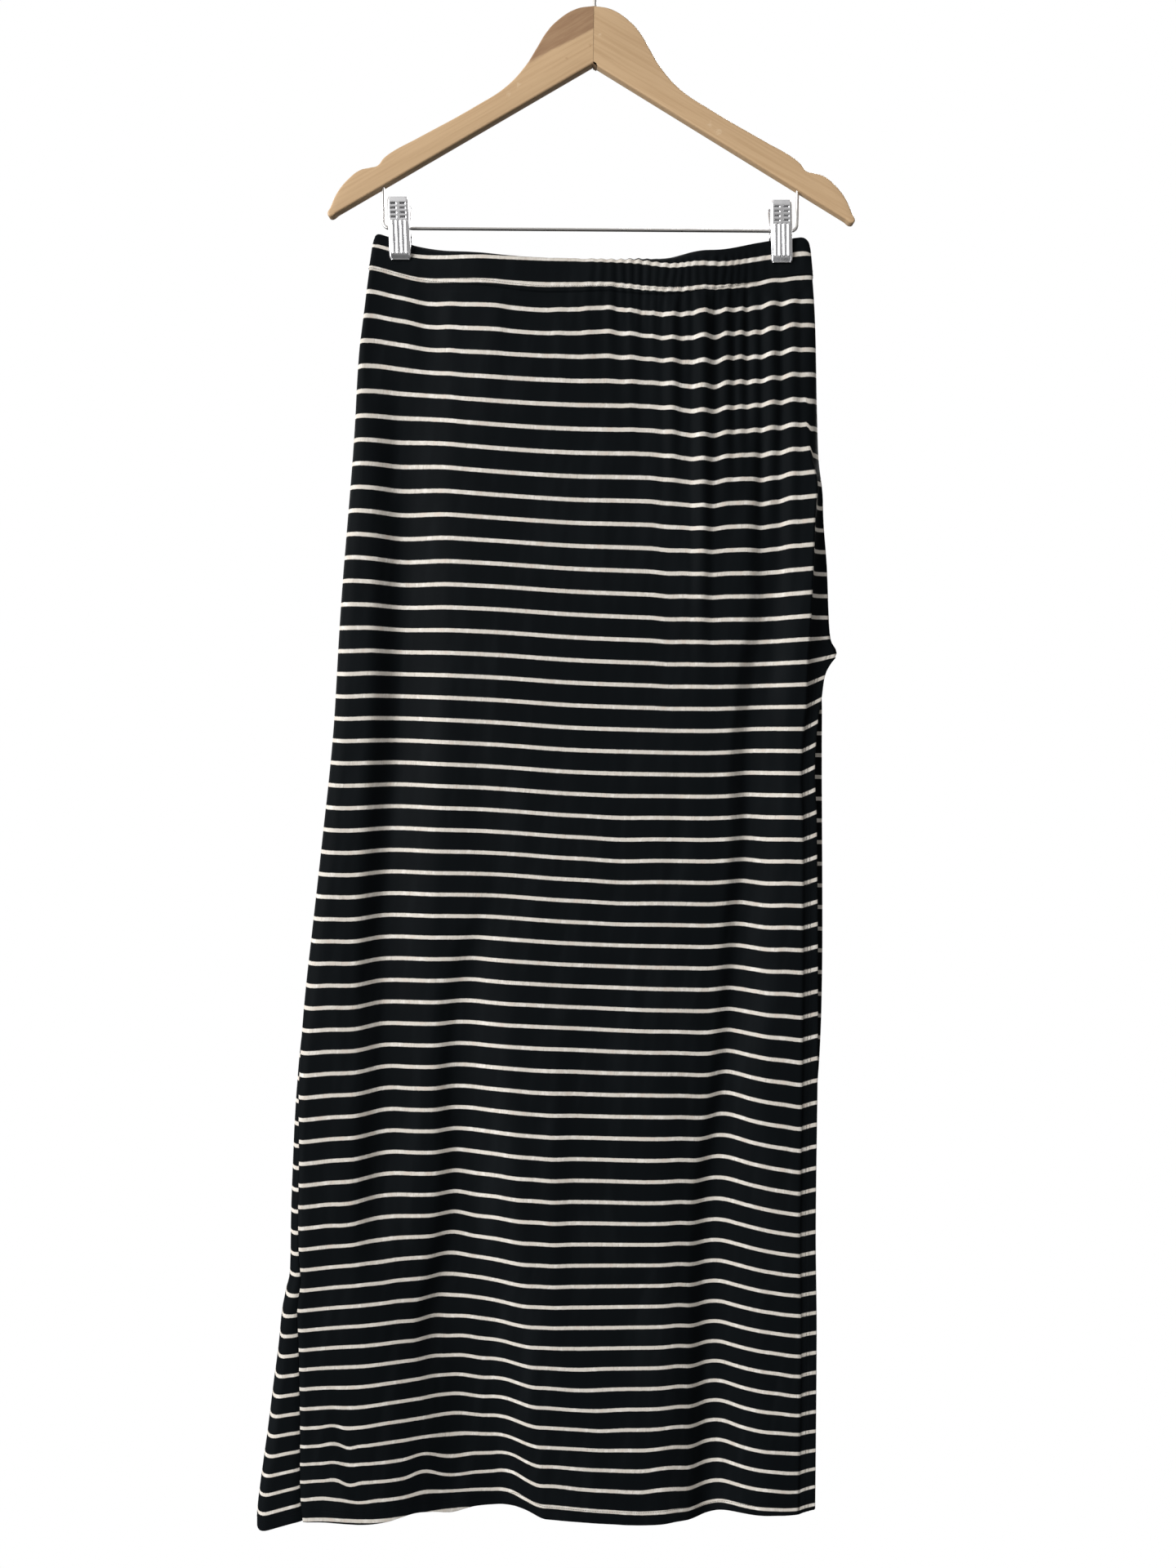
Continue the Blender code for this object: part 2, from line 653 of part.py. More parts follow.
def main():
    clear_scene()
    parts = make_collection("maxi_skirt_on_hanger")
    cutters = make_collection("cutters")
    build_front(parts)
    build_back(parts)
    build_band(parts)
    for side in (-1, 1):
        build_arm(parts, cutters, side)
    build_hook(parts)
    build_bar(parts)
    for side_name in CLIPS:
        build_jaw(parts, side_name, True)
        build_jaw(parts, side_name, False)
        build_spring(parts, side_name)


main()
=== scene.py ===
# A striped jersey maxi skirt hanging from the two spring clips of a wooden hanger.
# Lengths here are in millimetres, and mm turns them into metres. "Level" is the distance
# down the cloth from the waistband's top edge, "across" runs to the right seen from the front.

import math

import bmesh
import bpy
import numpy as np
from mathutils import Matrix, Vector


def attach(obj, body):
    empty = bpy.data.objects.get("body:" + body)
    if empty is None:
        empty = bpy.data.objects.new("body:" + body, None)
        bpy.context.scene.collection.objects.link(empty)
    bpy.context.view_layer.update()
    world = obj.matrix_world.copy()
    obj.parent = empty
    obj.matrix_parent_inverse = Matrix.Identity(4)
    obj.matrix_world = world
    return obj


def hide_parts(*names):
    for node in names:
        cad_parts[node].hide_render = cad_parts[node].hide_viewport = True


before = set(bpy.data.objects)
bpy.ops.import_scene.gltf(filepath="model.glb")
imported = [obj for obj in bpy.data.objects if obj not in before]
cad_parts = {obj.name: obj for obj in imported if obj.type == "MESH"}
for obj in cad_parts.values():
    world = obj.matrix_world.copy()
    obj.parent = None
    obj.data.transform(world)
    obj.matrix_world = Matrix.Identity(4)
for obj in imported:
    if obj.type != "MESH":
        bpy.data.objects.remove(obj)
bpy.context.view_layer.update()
mm = 0.001
print("frame loaded:", len(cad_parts), "nodes")


# Small maths
def smooth(t):
    t = np.clip(t, 0.0, 1.0)
    return t * t * (3 - 2 * t)


def ramp(at, start, reach):  # 0 up to the start, 1 from the end of the reach on
    return smooth((at - start) / reach)


def bump(distance, reach):  # 1 at no distance, 0 from reach on
    return smooth(1 - np.abs(distance) / reach)


def pick(values, index):
    if values.ndim == 1:
        return values[index]
    return np.take_along_axis(values, index[..., None], -1)[..., 0]


def through(knots, values, at):  # a smooth curve through the values, level beyond both ends
    knots, values = np.asarray(knots, float), np.asarray(values, float)
    at = np.clip(at, knots[0], knots[-1])
    last = len(knots) - 1
    i = np.clip(np.searchsorted(knots, at, side="right") - 1, 0, last - 1)
    low, high = np.maximum(np.arange(last + 1) - 1, 0), np.minimum(np.arange(last + 1) + 1, last)
    slopes = (values[..., high] - values[..., low]) / (knots[high] - knots[low])
    span = knots[i + 1] - knots[i]
    t = (at - knots[i]) / span
    return ((1 + 2 * t) * (1 - t) ** 2 * pick(values, i)
            + t * (1 - t) ** 2 * span * pick(slopes, i)
            + t * t * (3 - 2 * t) * pick(values, i + 1)
            + t * t * (t - 1) * span * pick(slopes, i + 1))


def table(rows, column, at):
    return through([row[0] for row in rows], [row[column] for row in rows], at)


scatter = {"across": 127.1, "down": 311.7, "seed": 74.7, "spread": 43758.5453}


def softNoise(across, down, seed):  # smooth and repeatable, from -1 to 1
    across, down = np.broadcast_arrays(across, down)
    cellAcross, cellDown = np.floor(across), np.floor(down)
    tAcross, tDown = smooth(across - cellAcross), smooth(down - cellDown)

    def corner(i, j):
        turn = (cellAcross + i) * scatter["across"] + (cellDown + j) * scatter["down"]
        value = np.sin(turn + seed * scatter["seed"]) * scatter["spread"]
        return value - np.floor(value)

    upper = corner(0, 0) * (1 - tAcross) + corner(1, 0) * tAcross
    lower = corner(0, 1) * (1 - tAcross) + corner(1, 1) * tAcross
    return 2 * (upper * (1 - tDown) + lower * tDown) - 1


# The hanging cloth's form
# a rise, ease, fade or bend is where it starts and how far it reaches
skirt = {
    "cloth": 0.8, "seamGap": 0.02, "waistHeight": -258.4, "slitLevel": 326, "slitClear": 2,
    "slitPull": (290, 36), "stripClear": 0.5, "stripDropRate": 4, "lastLevel": 1072,
    "hemBend": (1000, 72), "foldRadius": 0.62, "foldStep": 0.4,
    "hemRows": (1.5, 5, 10, 15, 20), "slitRows": (2, 5, 8, 11),
    "pinchDepth": 1.6, "pinchEase": (10, 60), "pinchFade": (30, 190),
    "gatherRise": (20, 40), "gatherHold": 0.35, "gatherPull": 0.22, "foldEnd": 1100,
    "foldGrowth": 0.8, "leftStepReach": 14, "shiftEase": (-200, 390), "hemShiftLevel": 1080,
}
band = {
    "width": 30, "spacing": 0.75, "cloth": 0.6, "rollLevel": 14, "rollRadius": 3.2,
    "rollLimit": 1.6, "backLevel": 31, "belowStitches": 0.9, "drawnIn": 0.12,
    "height": 32, "reliefRise": (0.05, 0.25),
}
clips = {"left": (-158.8, -237.5), "right": (150.4, -239.8)}  # across, height of the bar
# across, level of the hem
hemFront = (
    (-300, 1085), (-208, 1088), (-182, 1086.5), (-158, 1082.5), (-142, 1084), (-125, 1086.5),
    (-106, 1082.5), (-80, 1079.5), (-58, 1075.5), (-40, 1077.5), (40, 1077), (110, 1074.5),
    (130, 1073), (190, 1071)
)
hemBack = ((-300, 1085.5), (-250, 1085.2), (0, 1084), (200, 1080))
# across, how much of the casing stands above the roll; across, how far the top rolls back
turnScale = ((-180, 0.82), (175, 1.12))
rollAmount = (
    (-175, 0.02), (-127, 0.33), (-103, 0.45), (-80, 0.64), (-50, 1), (12, 1), (39, 0.55),
    (62, 0.30), (90, 0.14), (130, 0.02)
)
waistCorners = ((-179, 4), (175, 8))  # across, radius of the rounded top corner
# level, then: left fold of the tube; its radius; how far round the front the left seam has
# travelled; how far the cloth beyond the seam stands out
leftEdge = (
    (0, -179), (60, -188.5), (95, -193.6), (160, -198), (300, -211.5), (400, -219), (500, -231),
    (600, -244.5), (690, -255), (780, -261), (836, -263.2), (852, -264.6), (865, -268.8),
    (882, -273), (912, -276), (950, -280.5), (1000, -286.5), (1060, -295.5), (1100, -296)
)
leftTurn = ((0, 2.2), (60, 3), (150, 9), (250, 12), (1100, 12))
leftSeam = (
    (0, 0), (600, 0), (680, 8), (742, 14), (831, 17), (868, 23), (949, 33), (1016, 41), (1100, 54)
)
leftStep = ((0, 0), (852, 0), (876, 12), (916, 9), (956, 3), (1000, 0), (1100, 0))
# level, edge across, crease across, edge depth, 1 where the strip steps back before it runs out
rightFront = (
    (0, 175, 170, 0, 0), (60, 180.3, 171, 0, 0), (130, 183.4, 172, -2, 0),
    (165, 186, 177, -4, 0.3), (187, 189.5, 182.5, -5, 1), (210, 190.5, 181, -4, 1),
    (245, 193.2, 180, -1, 1), (293, 195, 178, 2, 1), (311, 196.5, 177, 3, 1),
    (325, 201.5, 176, 5, 1), (334, 195.5, 176, 6, 1), (343, 191, 175.5, 7, 1),
    (362, 188, 175, 9, 1), (381, 184.8, 173, 11, 1), (421, 182.5, 171, 12, 1),
    (460, 184.5, 173, 12, 1), (632, 188, 175, 12, 1), (806, 188.5, 175, 12, 1),
    (900, 190.5, 177, 12, 1), (1100, 191.5, 178, 12, 1)
)
# level, edge across, edge depth
rightBack = (
    (0, 175, 0), (60, 180.3, 0), (130, 183.4, -2), (165, 186, -4), (187, 189.5, -5),
    (210, 190.5, -4), (245, 193.2, -1), (289, 195, 2), (304, 196.5, 3), (315.5, 200, 4.5),
    (323, 193.5, 1), (331, 190, -2), (340, 190, -5), (352, 192, -9), (366, 193, -12),
    (434, 194, -14), (531, 196, -14), (602, 196.5, -14), (650, 195.5, -14), (720, 192, -15),
    (1100, 191, -20)
)
# level, depth in front of and behind the middle plane
belly = ((0, 9, 9), (30, 9, 9), (150, 13, 12), (300, 15, 14), (700, 15, 16), (1100, 15, 21))
# across at the start, across at the hem, start level, half width left and right, depth
frontFolds = ((-120, -84, 500, 110, 44, 21), (104, 108, 520, 52, 44, 12))
backFolds = (
    (-150, -190, 480, 70, 60, 11), (-10, 20, 520, 80, 70, 9), (110, 120, 560, 50, 45, 7)
)
# reach to the left and right of the bottom, then its level, across and depth down its length
frontValleys = (
    (24, 46, ((100, -160, 0), (181, -160, 8), (328, -162, 10.5), (393, -165, 11),
        (478, -172, 10.5), (580, -178, 10), (684, -181, 8.5), (789, -184, 8.5), (850, -185, 2.5),
        (900, -186, 0))),
    (18, 34, ((130, 140, 0), (165, 140.5, 5.5), (279, 141.5, 7), (328, 134, 7.5), (393, 128, 8),
        (478, 127.5, 8), (580, 120, 7), (684, 113, 6), (789, 98, 5), (896, 97.5, 5), (1004, 98, 5),
        (1080, 98, 3))),
    (20, 45, ((480, -74, 0), (529, -84, 2), (598, -108, 4), (684, -118, 6), (789, -119, 6),
        (854, -128, 6), (896, -137, 7), (955, -135, 4), (1004, -128, 2), (1040, -126, 0)))
)
# across, half width, height, level where it fades out
frontGathers = (
    (-150, 14, 1.2, 150), (-118, 12, 1.4, 170), (-80, 12, 1, 130), (-30, 9, 1, 120),
    (-6, 8, 1.2, 140), (12, 7, 1.3, 130), (30, 9, 1.8, 190), (47, 7, 1.4, 140), (63, 9, 3.4, 260),
    (76, 6, 1.4, 120), (88, 10, 5.2, 400), (107, 8, 4, 240), (119, 7, 3.4, 210),
    (131, 8, 3.8, 250), (144, 10, 5.2, 330), (161, 9, 3.6, 330)
)
backGathers = (
    (-140, 13, 3.2, 300), (-112, 10, 2.4, 200), (-88, 12, 3.6, 340), (-40, 14, 1.6, 180),
    (24, 14, 2, 200), (70, 12, 3.4, 280), (98, 10, 2.6, 220), (126, 12, 3.6, 380)
)
# how far the grain is lifted: level, then one value for each place across
liftAcross = (-292, -250, -200, -140, -80, -20, 40, 95, 135, 180)
liftRows = (
    (12, (20, 20, 20, 9.5, 7, 5, 3.5, 3, 7.5, 12)),
    (123, (12, 12, 11, 7.5, 3, 0, -1.5, -4, -0.5, 5)),
    (290, (6, 6, 5, 3, 0.5, -3.5, -6, -7.5, -7.5, -4.5)),
    (400, (4, 4, 4, 3, 0.5, -3.5, -5.5, -6.5, -5, -5)),
    (567, (0, 1, 3, 4.5, 4, 0.5, -1.5, -3, -3.5, -5.5)),
    (789, (-8, -5.5, 0, 2, 1, -0.5, -1.5, -1.5, -5, -11)),
    (880, (-8, -4, 0.5, 3, -0.5, -1, 0, 0, -4, -8.5)),
    (1011, (-4, 4.5, 6, 7, 4, 2, 1, 2.5, -0.5, -2.5)),
    (1067, (1, 11.5, 10.5, 11, 7, 3, -0.5, 1, 2.5, 4))
)
# level, how far the grain rises at the slit's edge, drops past the front's crease, and is
# lifted on the back at the left and at the right
slitRise = ((290, 0), (326, 5.5), (450, 4.5), (640, 1.8), (1100, 1.5))
stripDrop = ((110, 0), (183, 7.6), (235, 4.6), (275, 2.1), (292, 0.7), (309, 0))
backShift = ((30, 0, 0), (120, -4, -4), (410, -4, -4.6), (660, -4, -6.8), (1100, -4, -6.8))
# across, level of the casing's lower edge
stitchLevel = (
    (-180, 30.5), (-158, 30), (-137, 30.8), (-115, 32), (-60, 34.5), (0, 35), (50, 33.5),
    (100, 30.5), (124, 28.6), (150, 27.4), (172, 27.5)
)
# soft creases: across and level where they start and end, half width, depth (minus is a ridge)
frontCreases = (
    (-94, 543, -110, 652, 12, 1.5), (-52, 711, -42, 736, 9, 1.2), (62, 605, 66, 700, 16, 1.2),
    (-224, 985, -209, 1052, 7, 1.4), (-206, 968, -196, 1030, 9, -1),
    (-36, 600, -36, 1000, 15, -2.4), (-92, 330, -100, 560, 14, 1.7), (66, 300, 70, 600, 12, 1.3),
    (96, 240, 100, 330, 13, 1.1), (146, 120, 150, 520, 9, 1.6), (-150, 300, -165, 560, 22, 0.7),
    (20, 420, 26, 640, 20, 0.6), (-196, 560, -214, 800, 16, 0.9), (-140, 880, -128, 1060, 14, -1),
    (150, 760, 154, 1040, 12, 0.9), (-10, 130, -14, 360, 18, 0.5)
)
backCreases = (
    (-120, 260, -140, 520, 16, 1.2), (60, 180, 72, 420, 14, 1), (130, 420, 138, 700, 13, 1.3),
    (-30, 560, -22, 800, 18, 1), (-190, 700, -206, 960, 14, 1.2), (40, 820, 48, 1050, 16, -1.1),
    (150, 900, 156, 1060, 11, 1), (-90, 880, -84, 1070, 15, 1.1)
)
# small pulls that lift or drop the grain: across, level, reach across, reach down, lift
pulls = (
    (-180, 62, 34, 95, 4), (-158, 235, 40, 130, -1.6), (-45, 48, 50, 45, -2.3),
    (-40, 180, 110, 110, -0.9), (8, 70, 18, 60, 1.4), (60, 50, 34, 60, -3.3),
    (80, 150, 36, 110, -1.5), (114, 85, 20, 60, 1.6), (166, 72, 34, 85, 3),
    (141, 195, 20, 80, -2.2), (-20, 480, 150, 160, -0.9), (22, 500, 34, 100, -1.2),
    (114, 640, 20, 220, 2), (158, 760, 34, 260, -1.7), (88, 780, 18, 300, -0.8),
    (-30, 645, 130, 70, 0.9), (-205, 620, 22, 330, -1.2), (-210, 985, 34, 70, -1.9),
    (-178, 710, 20, 120, 1.1), (-98, 960, 26, 120, -1.7), (-125, 850, 20, 70, 1.2),
    (-125, 1035, 22, 40, -3), (-152, 900, 20, 60, -1.2), (-150, 1045, 18, 40, 3.6),
    (-70, 1045, 22, 45, 3.2), (-35, 1045, 30, 40, 1.3), (-15, 960, 30, 60, -1.4),
    (58, 1045, 20, 40, 1.6), (170, 1050, 24, 50, -2.2), (90, 190, 22, 190, -2),
    (144, 260, 22, 210, 0.2), (62, 240, 18, 180, -1.1), (143, 40, 16, 45, 1.4),
    (-154, 62, 20, 50, 1.4), (35, 40, 22, 40, -1.4), (-207, 345, 26, 90, -1.2),
    (173, 700, 14, 170, -1.2), (-227, 1005, 12, 26, 1.8), (-213, 1008, 12, 27, -2.3),
    (-226, 1040, 11, 22, 2.2), (-212, 1044, 12, 22, -3), (-236, 1060, 14, 16, 1.2),
    (-205, 1062, 18, 18, -2), (-150, 130, 50, 110, 1.4), (62, 12, 30, 24, -1.9),
    (105, 12, 30, 24, -1.4), (91, 985, 24, 330, -3), (118, 610, 20, 110, -1.4),
    (143, 540, 20, 170, -1.3), (-101, 800, 22, 90, -2.2), (-129, 895, 22, 90, -1.6),
    (-112, 1045, 30, 40, -1.6), (-74, 700, 26, 90, 1.2), (-74, 965, 26, 60, 0.9),
    (45, 695, 55, 70, 1.1), (62, 1020, 20, 50, 1.1), (-184, 740, 18, 130, -0.9),
    (-243, 990, 22, 50, -1.4), (-214, 800, 18, 50, -1.1), (-129, 915, 24, 70, -1),
    (-118, 870, 20, 60, -1), (-30, 680, 50, 90, 0.8), (8, 985, 24, 50, -1.2),
    (-184, 850, 16, 50, -0.9), (116, 915, 22, 90, -0.8), (172, 945, 16, 70, -0.9)
)


def lift(x, level):
    levels = [row[0] for row in liftRows]
    x, level = np.broadcast_arrays(x, level)
    columns = [through(levels, [row[1][i] for row in liftRows], level)
               for i in range(len(liftAcross))]
    total = through(liftAcross, np.stack(columns, -1), x)
    for across, height, reachAcross, reachDown, amount in pulls:
        total = total + amount * bump(x - across, reachAcross) * bump(level - height, reachDown)
    return total


def gatherHeight(x, level, isFront):
    total = 0.0
    for centre, reach, height, end in frontGathers if isFront else backGathers:
        rise = ramp(level, *skirt["gatherRise"])
        fade = 1 - ramp(level / end, skirt["gatherHold"], 1 - skirt["gatherHold"])
        total = total + height * rise * fade * bump(x - centre, reach)
    return total


def clothDepth(x, level, isFront):  # from the middle plane
    flat = table(belly, 1 if isFront else 2, level)
    near = 0.0
    for centre, _ in clips.values():
        near = np.maximum(near, 1 - ramp(np.abs(x - centre), *skirt["pinchEase"]))
    fade = 1 - ramp(level, *skirt["pinchFade"])
    depth = flat + (skirt["pinchDepth"] - flat) * near * fade
    for start, end, first, left, right, deep in frontFolds if isFront else backFolds:
        t = np.clip((level - first) / (skirt["foldEnd"] - first), 0.0, 1.0)
        offset = x - (start + (end - start) * t)
        near = bump(offset, np.where(offset < 0, left, right))
        depth = depth - deep * t ** skirt["foldGrowth"] * near
    for left, right, course in frontValleys if isFront else ():
        offset = x - table(course, 1, level)
        depth = depth - table(course, 2, level) * bump(offset, np.where(offset < 0, left, right))
    return depth + gatherHeight(x, level, isFront)


def alongFold(level, distance, isFront):  # round from the tube's left fold
    left, radius = table(leftEdge, 1, level), table(leftTurn, 1, level)
    corner = math.pi / 2 * radius
    angle = np.minimum(distance, corner) / radius
    x = left + radius + np.where(distance < corner, -radius * np.cos(angle), distance - corner)
    depth = clothDepth(np.maximum(x, left + radius), level, isFront)
    y = (-1 if isFront else 1) * depth * np.sin(angle)
    reach = skirt["leftStepReach"]
    step = table(leftStep, 1, level) * (1 - smooth(distance / reach))
    return x, y + step * (isFront | (distance < reach))


def foldToAcross(level, x):
    radius = table(leftTurn, 1, level)
    return x - table(leftEdge, 1, level) - radius + math.pi / 2 * radius


def frontStrip(level, t):
    edge, crease, edgeDepth, inward = (table(rightFront, i, level) for i in range(1, 5))
    inward = np.clip(inward, 0.0, 1.0)
    start = -clothDepth(crease, level, True)
    end = -edgeDepth - skirt["seamGap"] / 2 - skirt["stripClear"] * inward
    out, back = np.sin(t * math.pi / 2), 1 - np.cos(t * math.pi / 2)
    return (crease + (edge - crease) * (out + (back - out) * inward),
            start + (end - start) * (back + (out - back) * inward))


def backStrip(level, t):
    edge, edgeDepth = table(rightBack, 1, level), table(rightBack, 2, level)
    radius = table(leftTurn, 1, level)
    start = clothDepth(edge - radius, level, False)
    end = -edgeDepth + skirt["seamGap"] / 2
    turn = t * math.pi / 2
    return edge - radius + radius * np.sin(turn), start + (end - start) * (1 - np.cos(turn))


def backDrop(x, level):
    left, right = table(backShift, 1, level), table(backShift, 2, level)
    return left + (right - left) * ramp(x, *skirt["shiftEase"])


def clothHeight(x, level, strip, isFront):
    rise = table(slitRise, 1, level) * ramp(level, *skirt["slitPull"]) * strip * strip
    if isFront:
        drop = -table(stripDrop, 1, level) * smooth(strip * skirt["stripDropRate"])
    else:
        drop = backDrop(x, level)
    pulled = skirt["gatherPull"] * gatherHeight(x, level, isFront)
    return skirt["waistHeight"] - level + lift(x, level) + rise + drop + pulled


creasing = {"wander": 2, "wanderDown": 45, "wanderAcross": 10, "wanderSeed": 3,
            "sharpness": 1.6, "fadeIn": 2.2, "fadeOut": 1.7}


def creaseRelief(creases, x, level):
    total = 0.0
    for startX, startLevel, endX, endLevel, width, depth in creases:
        t = (level - startLevel) / (endLevel - startLevel)
        wander = softNoise(level / creasing["wanderDown"], startX / creasing["wanderAcross"],
                           creasing["wanderSeed"])
        middle = startX + (endX - startX) * t + creasing["wander"] * wander
        offset = (x - middle) / width
        side = np.exp(-offset * offset * creasing["sharpness"])
        total = total - (depth * side * smooth(t * creasing["fadeIn"])
                         * smooth((1 - t) * creasing["fadeOut"]))
    return total


relief = {
    "fineHeight": 0.13, "finerShare": 0.5, "broadHeight": 0.9, "broadRise": (20, 200),
    "shirrHeight": 0.75, "shirrPitch": 7.2, "shirrWander": 0.9, "shirrUneven": 0.25,
    "shirrLeft": (-40, 60), "shirrRight": (120, 40), "shirrOnBack": 0.8, "shirrTop": (0, 9),
    "shirrLow": (34, 50), "seamDip": 1, "seamReach": 2.2, "dipRise": (36, 60),
    "stripFade": 3, "stitchSwell": 0.45, "swellReach": 4, "frontSeed": 1, "backSeed": 9,
}
# reach across, reach down, place in the seeds: fine, finer, broad, shirring's wander and strength
reliefNoises = ((9, 70, 0), (4.7, 26, 1), (46, 230, 2), (21, 60, 4), (17, 80, 5))


def clothRelief(x, level, isFront):  # outward, the same on the panel and on the casing over it
    seed = relief["frontSeed"] if isFront else relief["backSeed"]
    fine, finer, broad, wander, uneven = (softNoise(x / across, level / down, seed + later)
                                          for across, down, later in reliefNoises)
    fine = fine + relief["finerShare"] * finer
    growing = ramp(level, *relief["broadRise"])
    total = relief["fineHeight"] * fine + relief["broadHeight"] * broad * growing
    total = total + creaseRelief(frontCreases if isFront else backCreases, x, level)
    phase = x / relief["shirrPitch"] + relief["shirrWander"] * wander
    where = relief["shirrOnBack"]
    if isFront:
        where = ramp(x, *relief["shirrLeft"]) * (1 - ramp(x, *relief["shirrRight"]))
    held = ramp(level, *relief["shirrTop"]) * (1 - ramp(level, *relief["shirrLow"]))
    strength = 1 + relief["shirrUneven"] * (uneven - 1)
    return total + relief["shirrHeight"] * strength * where * held * np.sin(2 * math.pi * phase)


# Grids of cloth
def runs(*parts):  # from 0 to 1, in runs of even cells: (end, cells)
    values, start = [0.0], 0.0
    for end, cells in parts:
        values += [start + (end - start) * (i + 1) / cells for i in range(cells)]
        start = end
    return np.array(values)


def levelsFrom(*parts):
    return np.concatenate([np.linspace(*part) for part in parts])


def unit(vectors):
    return vectors / np.maximum(np.linalg.norm(vectors, axis=-1, keepdims=True), 1e-9)


def normals(points):  # from the grid's rows down and columns across
    return unit(np.cross(np.gradient(points, axis=0), np.gradient(points, axis=1)))


def beside(*parts):
    return np.concatenate(parts, axis=1)


def cumulative(points):  # length along each row
    steps = np.linalg.norm(np.diff(points[..., :2], axis=1), axis=-1)
    return beside(np.zeros((len(points), 1)), np.cumsum(steps, axis=1))


def basePoints(level, columns, strips, isFront, first):
    # The cloth's middle surface: across, depth and strip value for each row and column
    stripLevel = level[:, len(columns):] if level.shape[1] > 1 else level
    level = level[:, :len(columns)]
    if isFront:
        end = foldToAcross(level, table(rightFront, 2, level))
        distance = first + (end - first) * columns
        x, y = alongFold(level, distance, True)
        stripX, stripY = frontStrip(stripLevel, strips)
    else:
        radius = table(leftTurn, 1, level)
        end = foldToAcross(level, table(rightBack, 1, level) - radius)
        distance = -first + (end + first) * columns
        backX, backY = alongFold(level, np.abs(distance), False)
        frontX, frontY = alongFold(level, np.abs(distance), True)
        x, y = np.where(distance < 0, frontX, backX), np.where(distance < 0, frontY, backY)
        stripX, stripY = backStrip(stripLevel, strips)
    x, y = beside(x, stripX), beside(y, stripY)
    strip = np.concatenate([np.zeros(len(columns)), strips if isFront else strips * 0])
    return x, y, strip * np.ones_like(x)


def panelPoints(levels, side):
    isFront = side["isFront"]
    level = levels[:, None]
    seam = table(leftSeam, 1, level) + (1 if isFront else -1) * skirt["seamGap"] / 2
    x, y, strip = basePoints(level, side["columns"], side["strips"], isFront, seam)
    hemLevel = table(side["hem"], 1, x)
    if not isFront:
        hemLevel = hemLevel + backDrop(x, skirt["hemShiftLevel"])
    bend = ramp(level, *skirt["hemBend"])
    down = level + bend * (hemLevel - skirt["lastLevel"])
    z = clothHeight(x, down, strip, isFront)
    points = np.stack([x, y, z], -1)
    outward = normals(points) * (1 if isFront else -1)
    length = cumulative(points)
    rise = clothRelief(x, down, isFront) * (1 - smooth(strip * relief["stripFade"]))
    under, reach = down - table(stitchLevel, 1, x), relief["swellReach"]
    rise = rise + relief["stitchSwell"] * bump(under - reach, reach)
    fromRight = np.where(level < skirt["slitLevel"], length[:, -1:] - length, np.inf)
    dip = relief["seamDip"] * ramp(level, *relief["dipRise"])
    atSeam = np.exp(-(length / relief["seamReach"]) ** 2)
    rise = rise * (1 - atSeam) - dip * atSeam
    rise = rise * (1 - np.exp(-(fromRight / relief["seamReach"]) ** 2))
    points = points + outward * rise[..., None]
    return points, outward, np.stack([length + seam * (1 if isFront else -1), down], -1)


def turnedEdge(edge, outward, direction):  # the round fold of a turned edge, row by row
    made, radius = [], skirt["foldRadius"]
    for degrees in (35, 70, 110, 145, 180):
        angle = math.radians(degrees)
        made.append(edge + direction * radius * math.sin(angle)
                    - outward * radius * (1 - math.cos(angle)))
    return made


def meshFromGrid(name, points, uv, keep=None, flip=False, ring=False):
    rows, count = points.shape[:2]
    index = np.arange(rows * count).reshape(rows, count)
    after = np.roll(index, -1, axis=1) if ring else index[:, 1:]
    here = index if ring else index[:, :-1]
    quads = np.stack([here[:-1], here[1:], after[1:], after[:-1]], -1)
    quads = (quads if keep is None else quads[keep]).reshape(-1, 4)
    if flip:
        quads = quads[:, ::-1]
    used, quads = np.unique(quads, return_inverse=True)
    quads = quads.reshape(-1, 4)
    mesh = bpy.data.meshes.new(name)
    mesh.from_pydata((points.reshape(-1, 3)[used] * mm).tolist(), [], quads.tolist())
    corners = np.empty(len(mesh.loops), dtype=np.int32)
    mesh.loops.foreach_get("vertex_index", corners)
    flat = (uv.reshape(-1, 2)[used][corners] * mm).astype(np.float32)
    mesh.uv_layers.new(name="cloth").data.foreach_set("uv", flat.ravel())
    mesh.shade_smooth()
    return mesh


def linked(name, data, material=None):
    thing = bpy.data.objects.new(name, data)
    bpy.context.scene.collection.objects.link(thing)
    if material:
        data.materials.append(material)
    return thing


def evaluated(thing):  # its mesh, with modifiers and curve settings carried out
    depsgraph = bpy.context.evaluated_depsgraph_get()
    return bpy.data.meshes.new_from_object(thing.evaluated_get(depsgraph), depsgraph=depsgraph)


def applyModifiers(piece):
    made = evaluated(piece)
    piece.modifiers.clear()
    piece.data = made
    made.name = piece.name


def thickened(name, mesh, thickness, material):
    piece = linked(name, mesh, material)
    wall = piece.modifiers.new("cloth", "SOLIDIFY")
    wall.thickness = thickness * mm
    wall.offset = 0.0
    applyModifiers(piece)
    return piece


def fromRightEdge(values, uv, reach):  # the grid's values at a distance from its right edge
    away = (uv[:, -1:, 0] - uv[..., 0])[:, ::-1]
    return np.array([[np.interp(reach, away[r], values[r, ::-1, k]) for k in range(3)]
                     for r in range(len(values))])


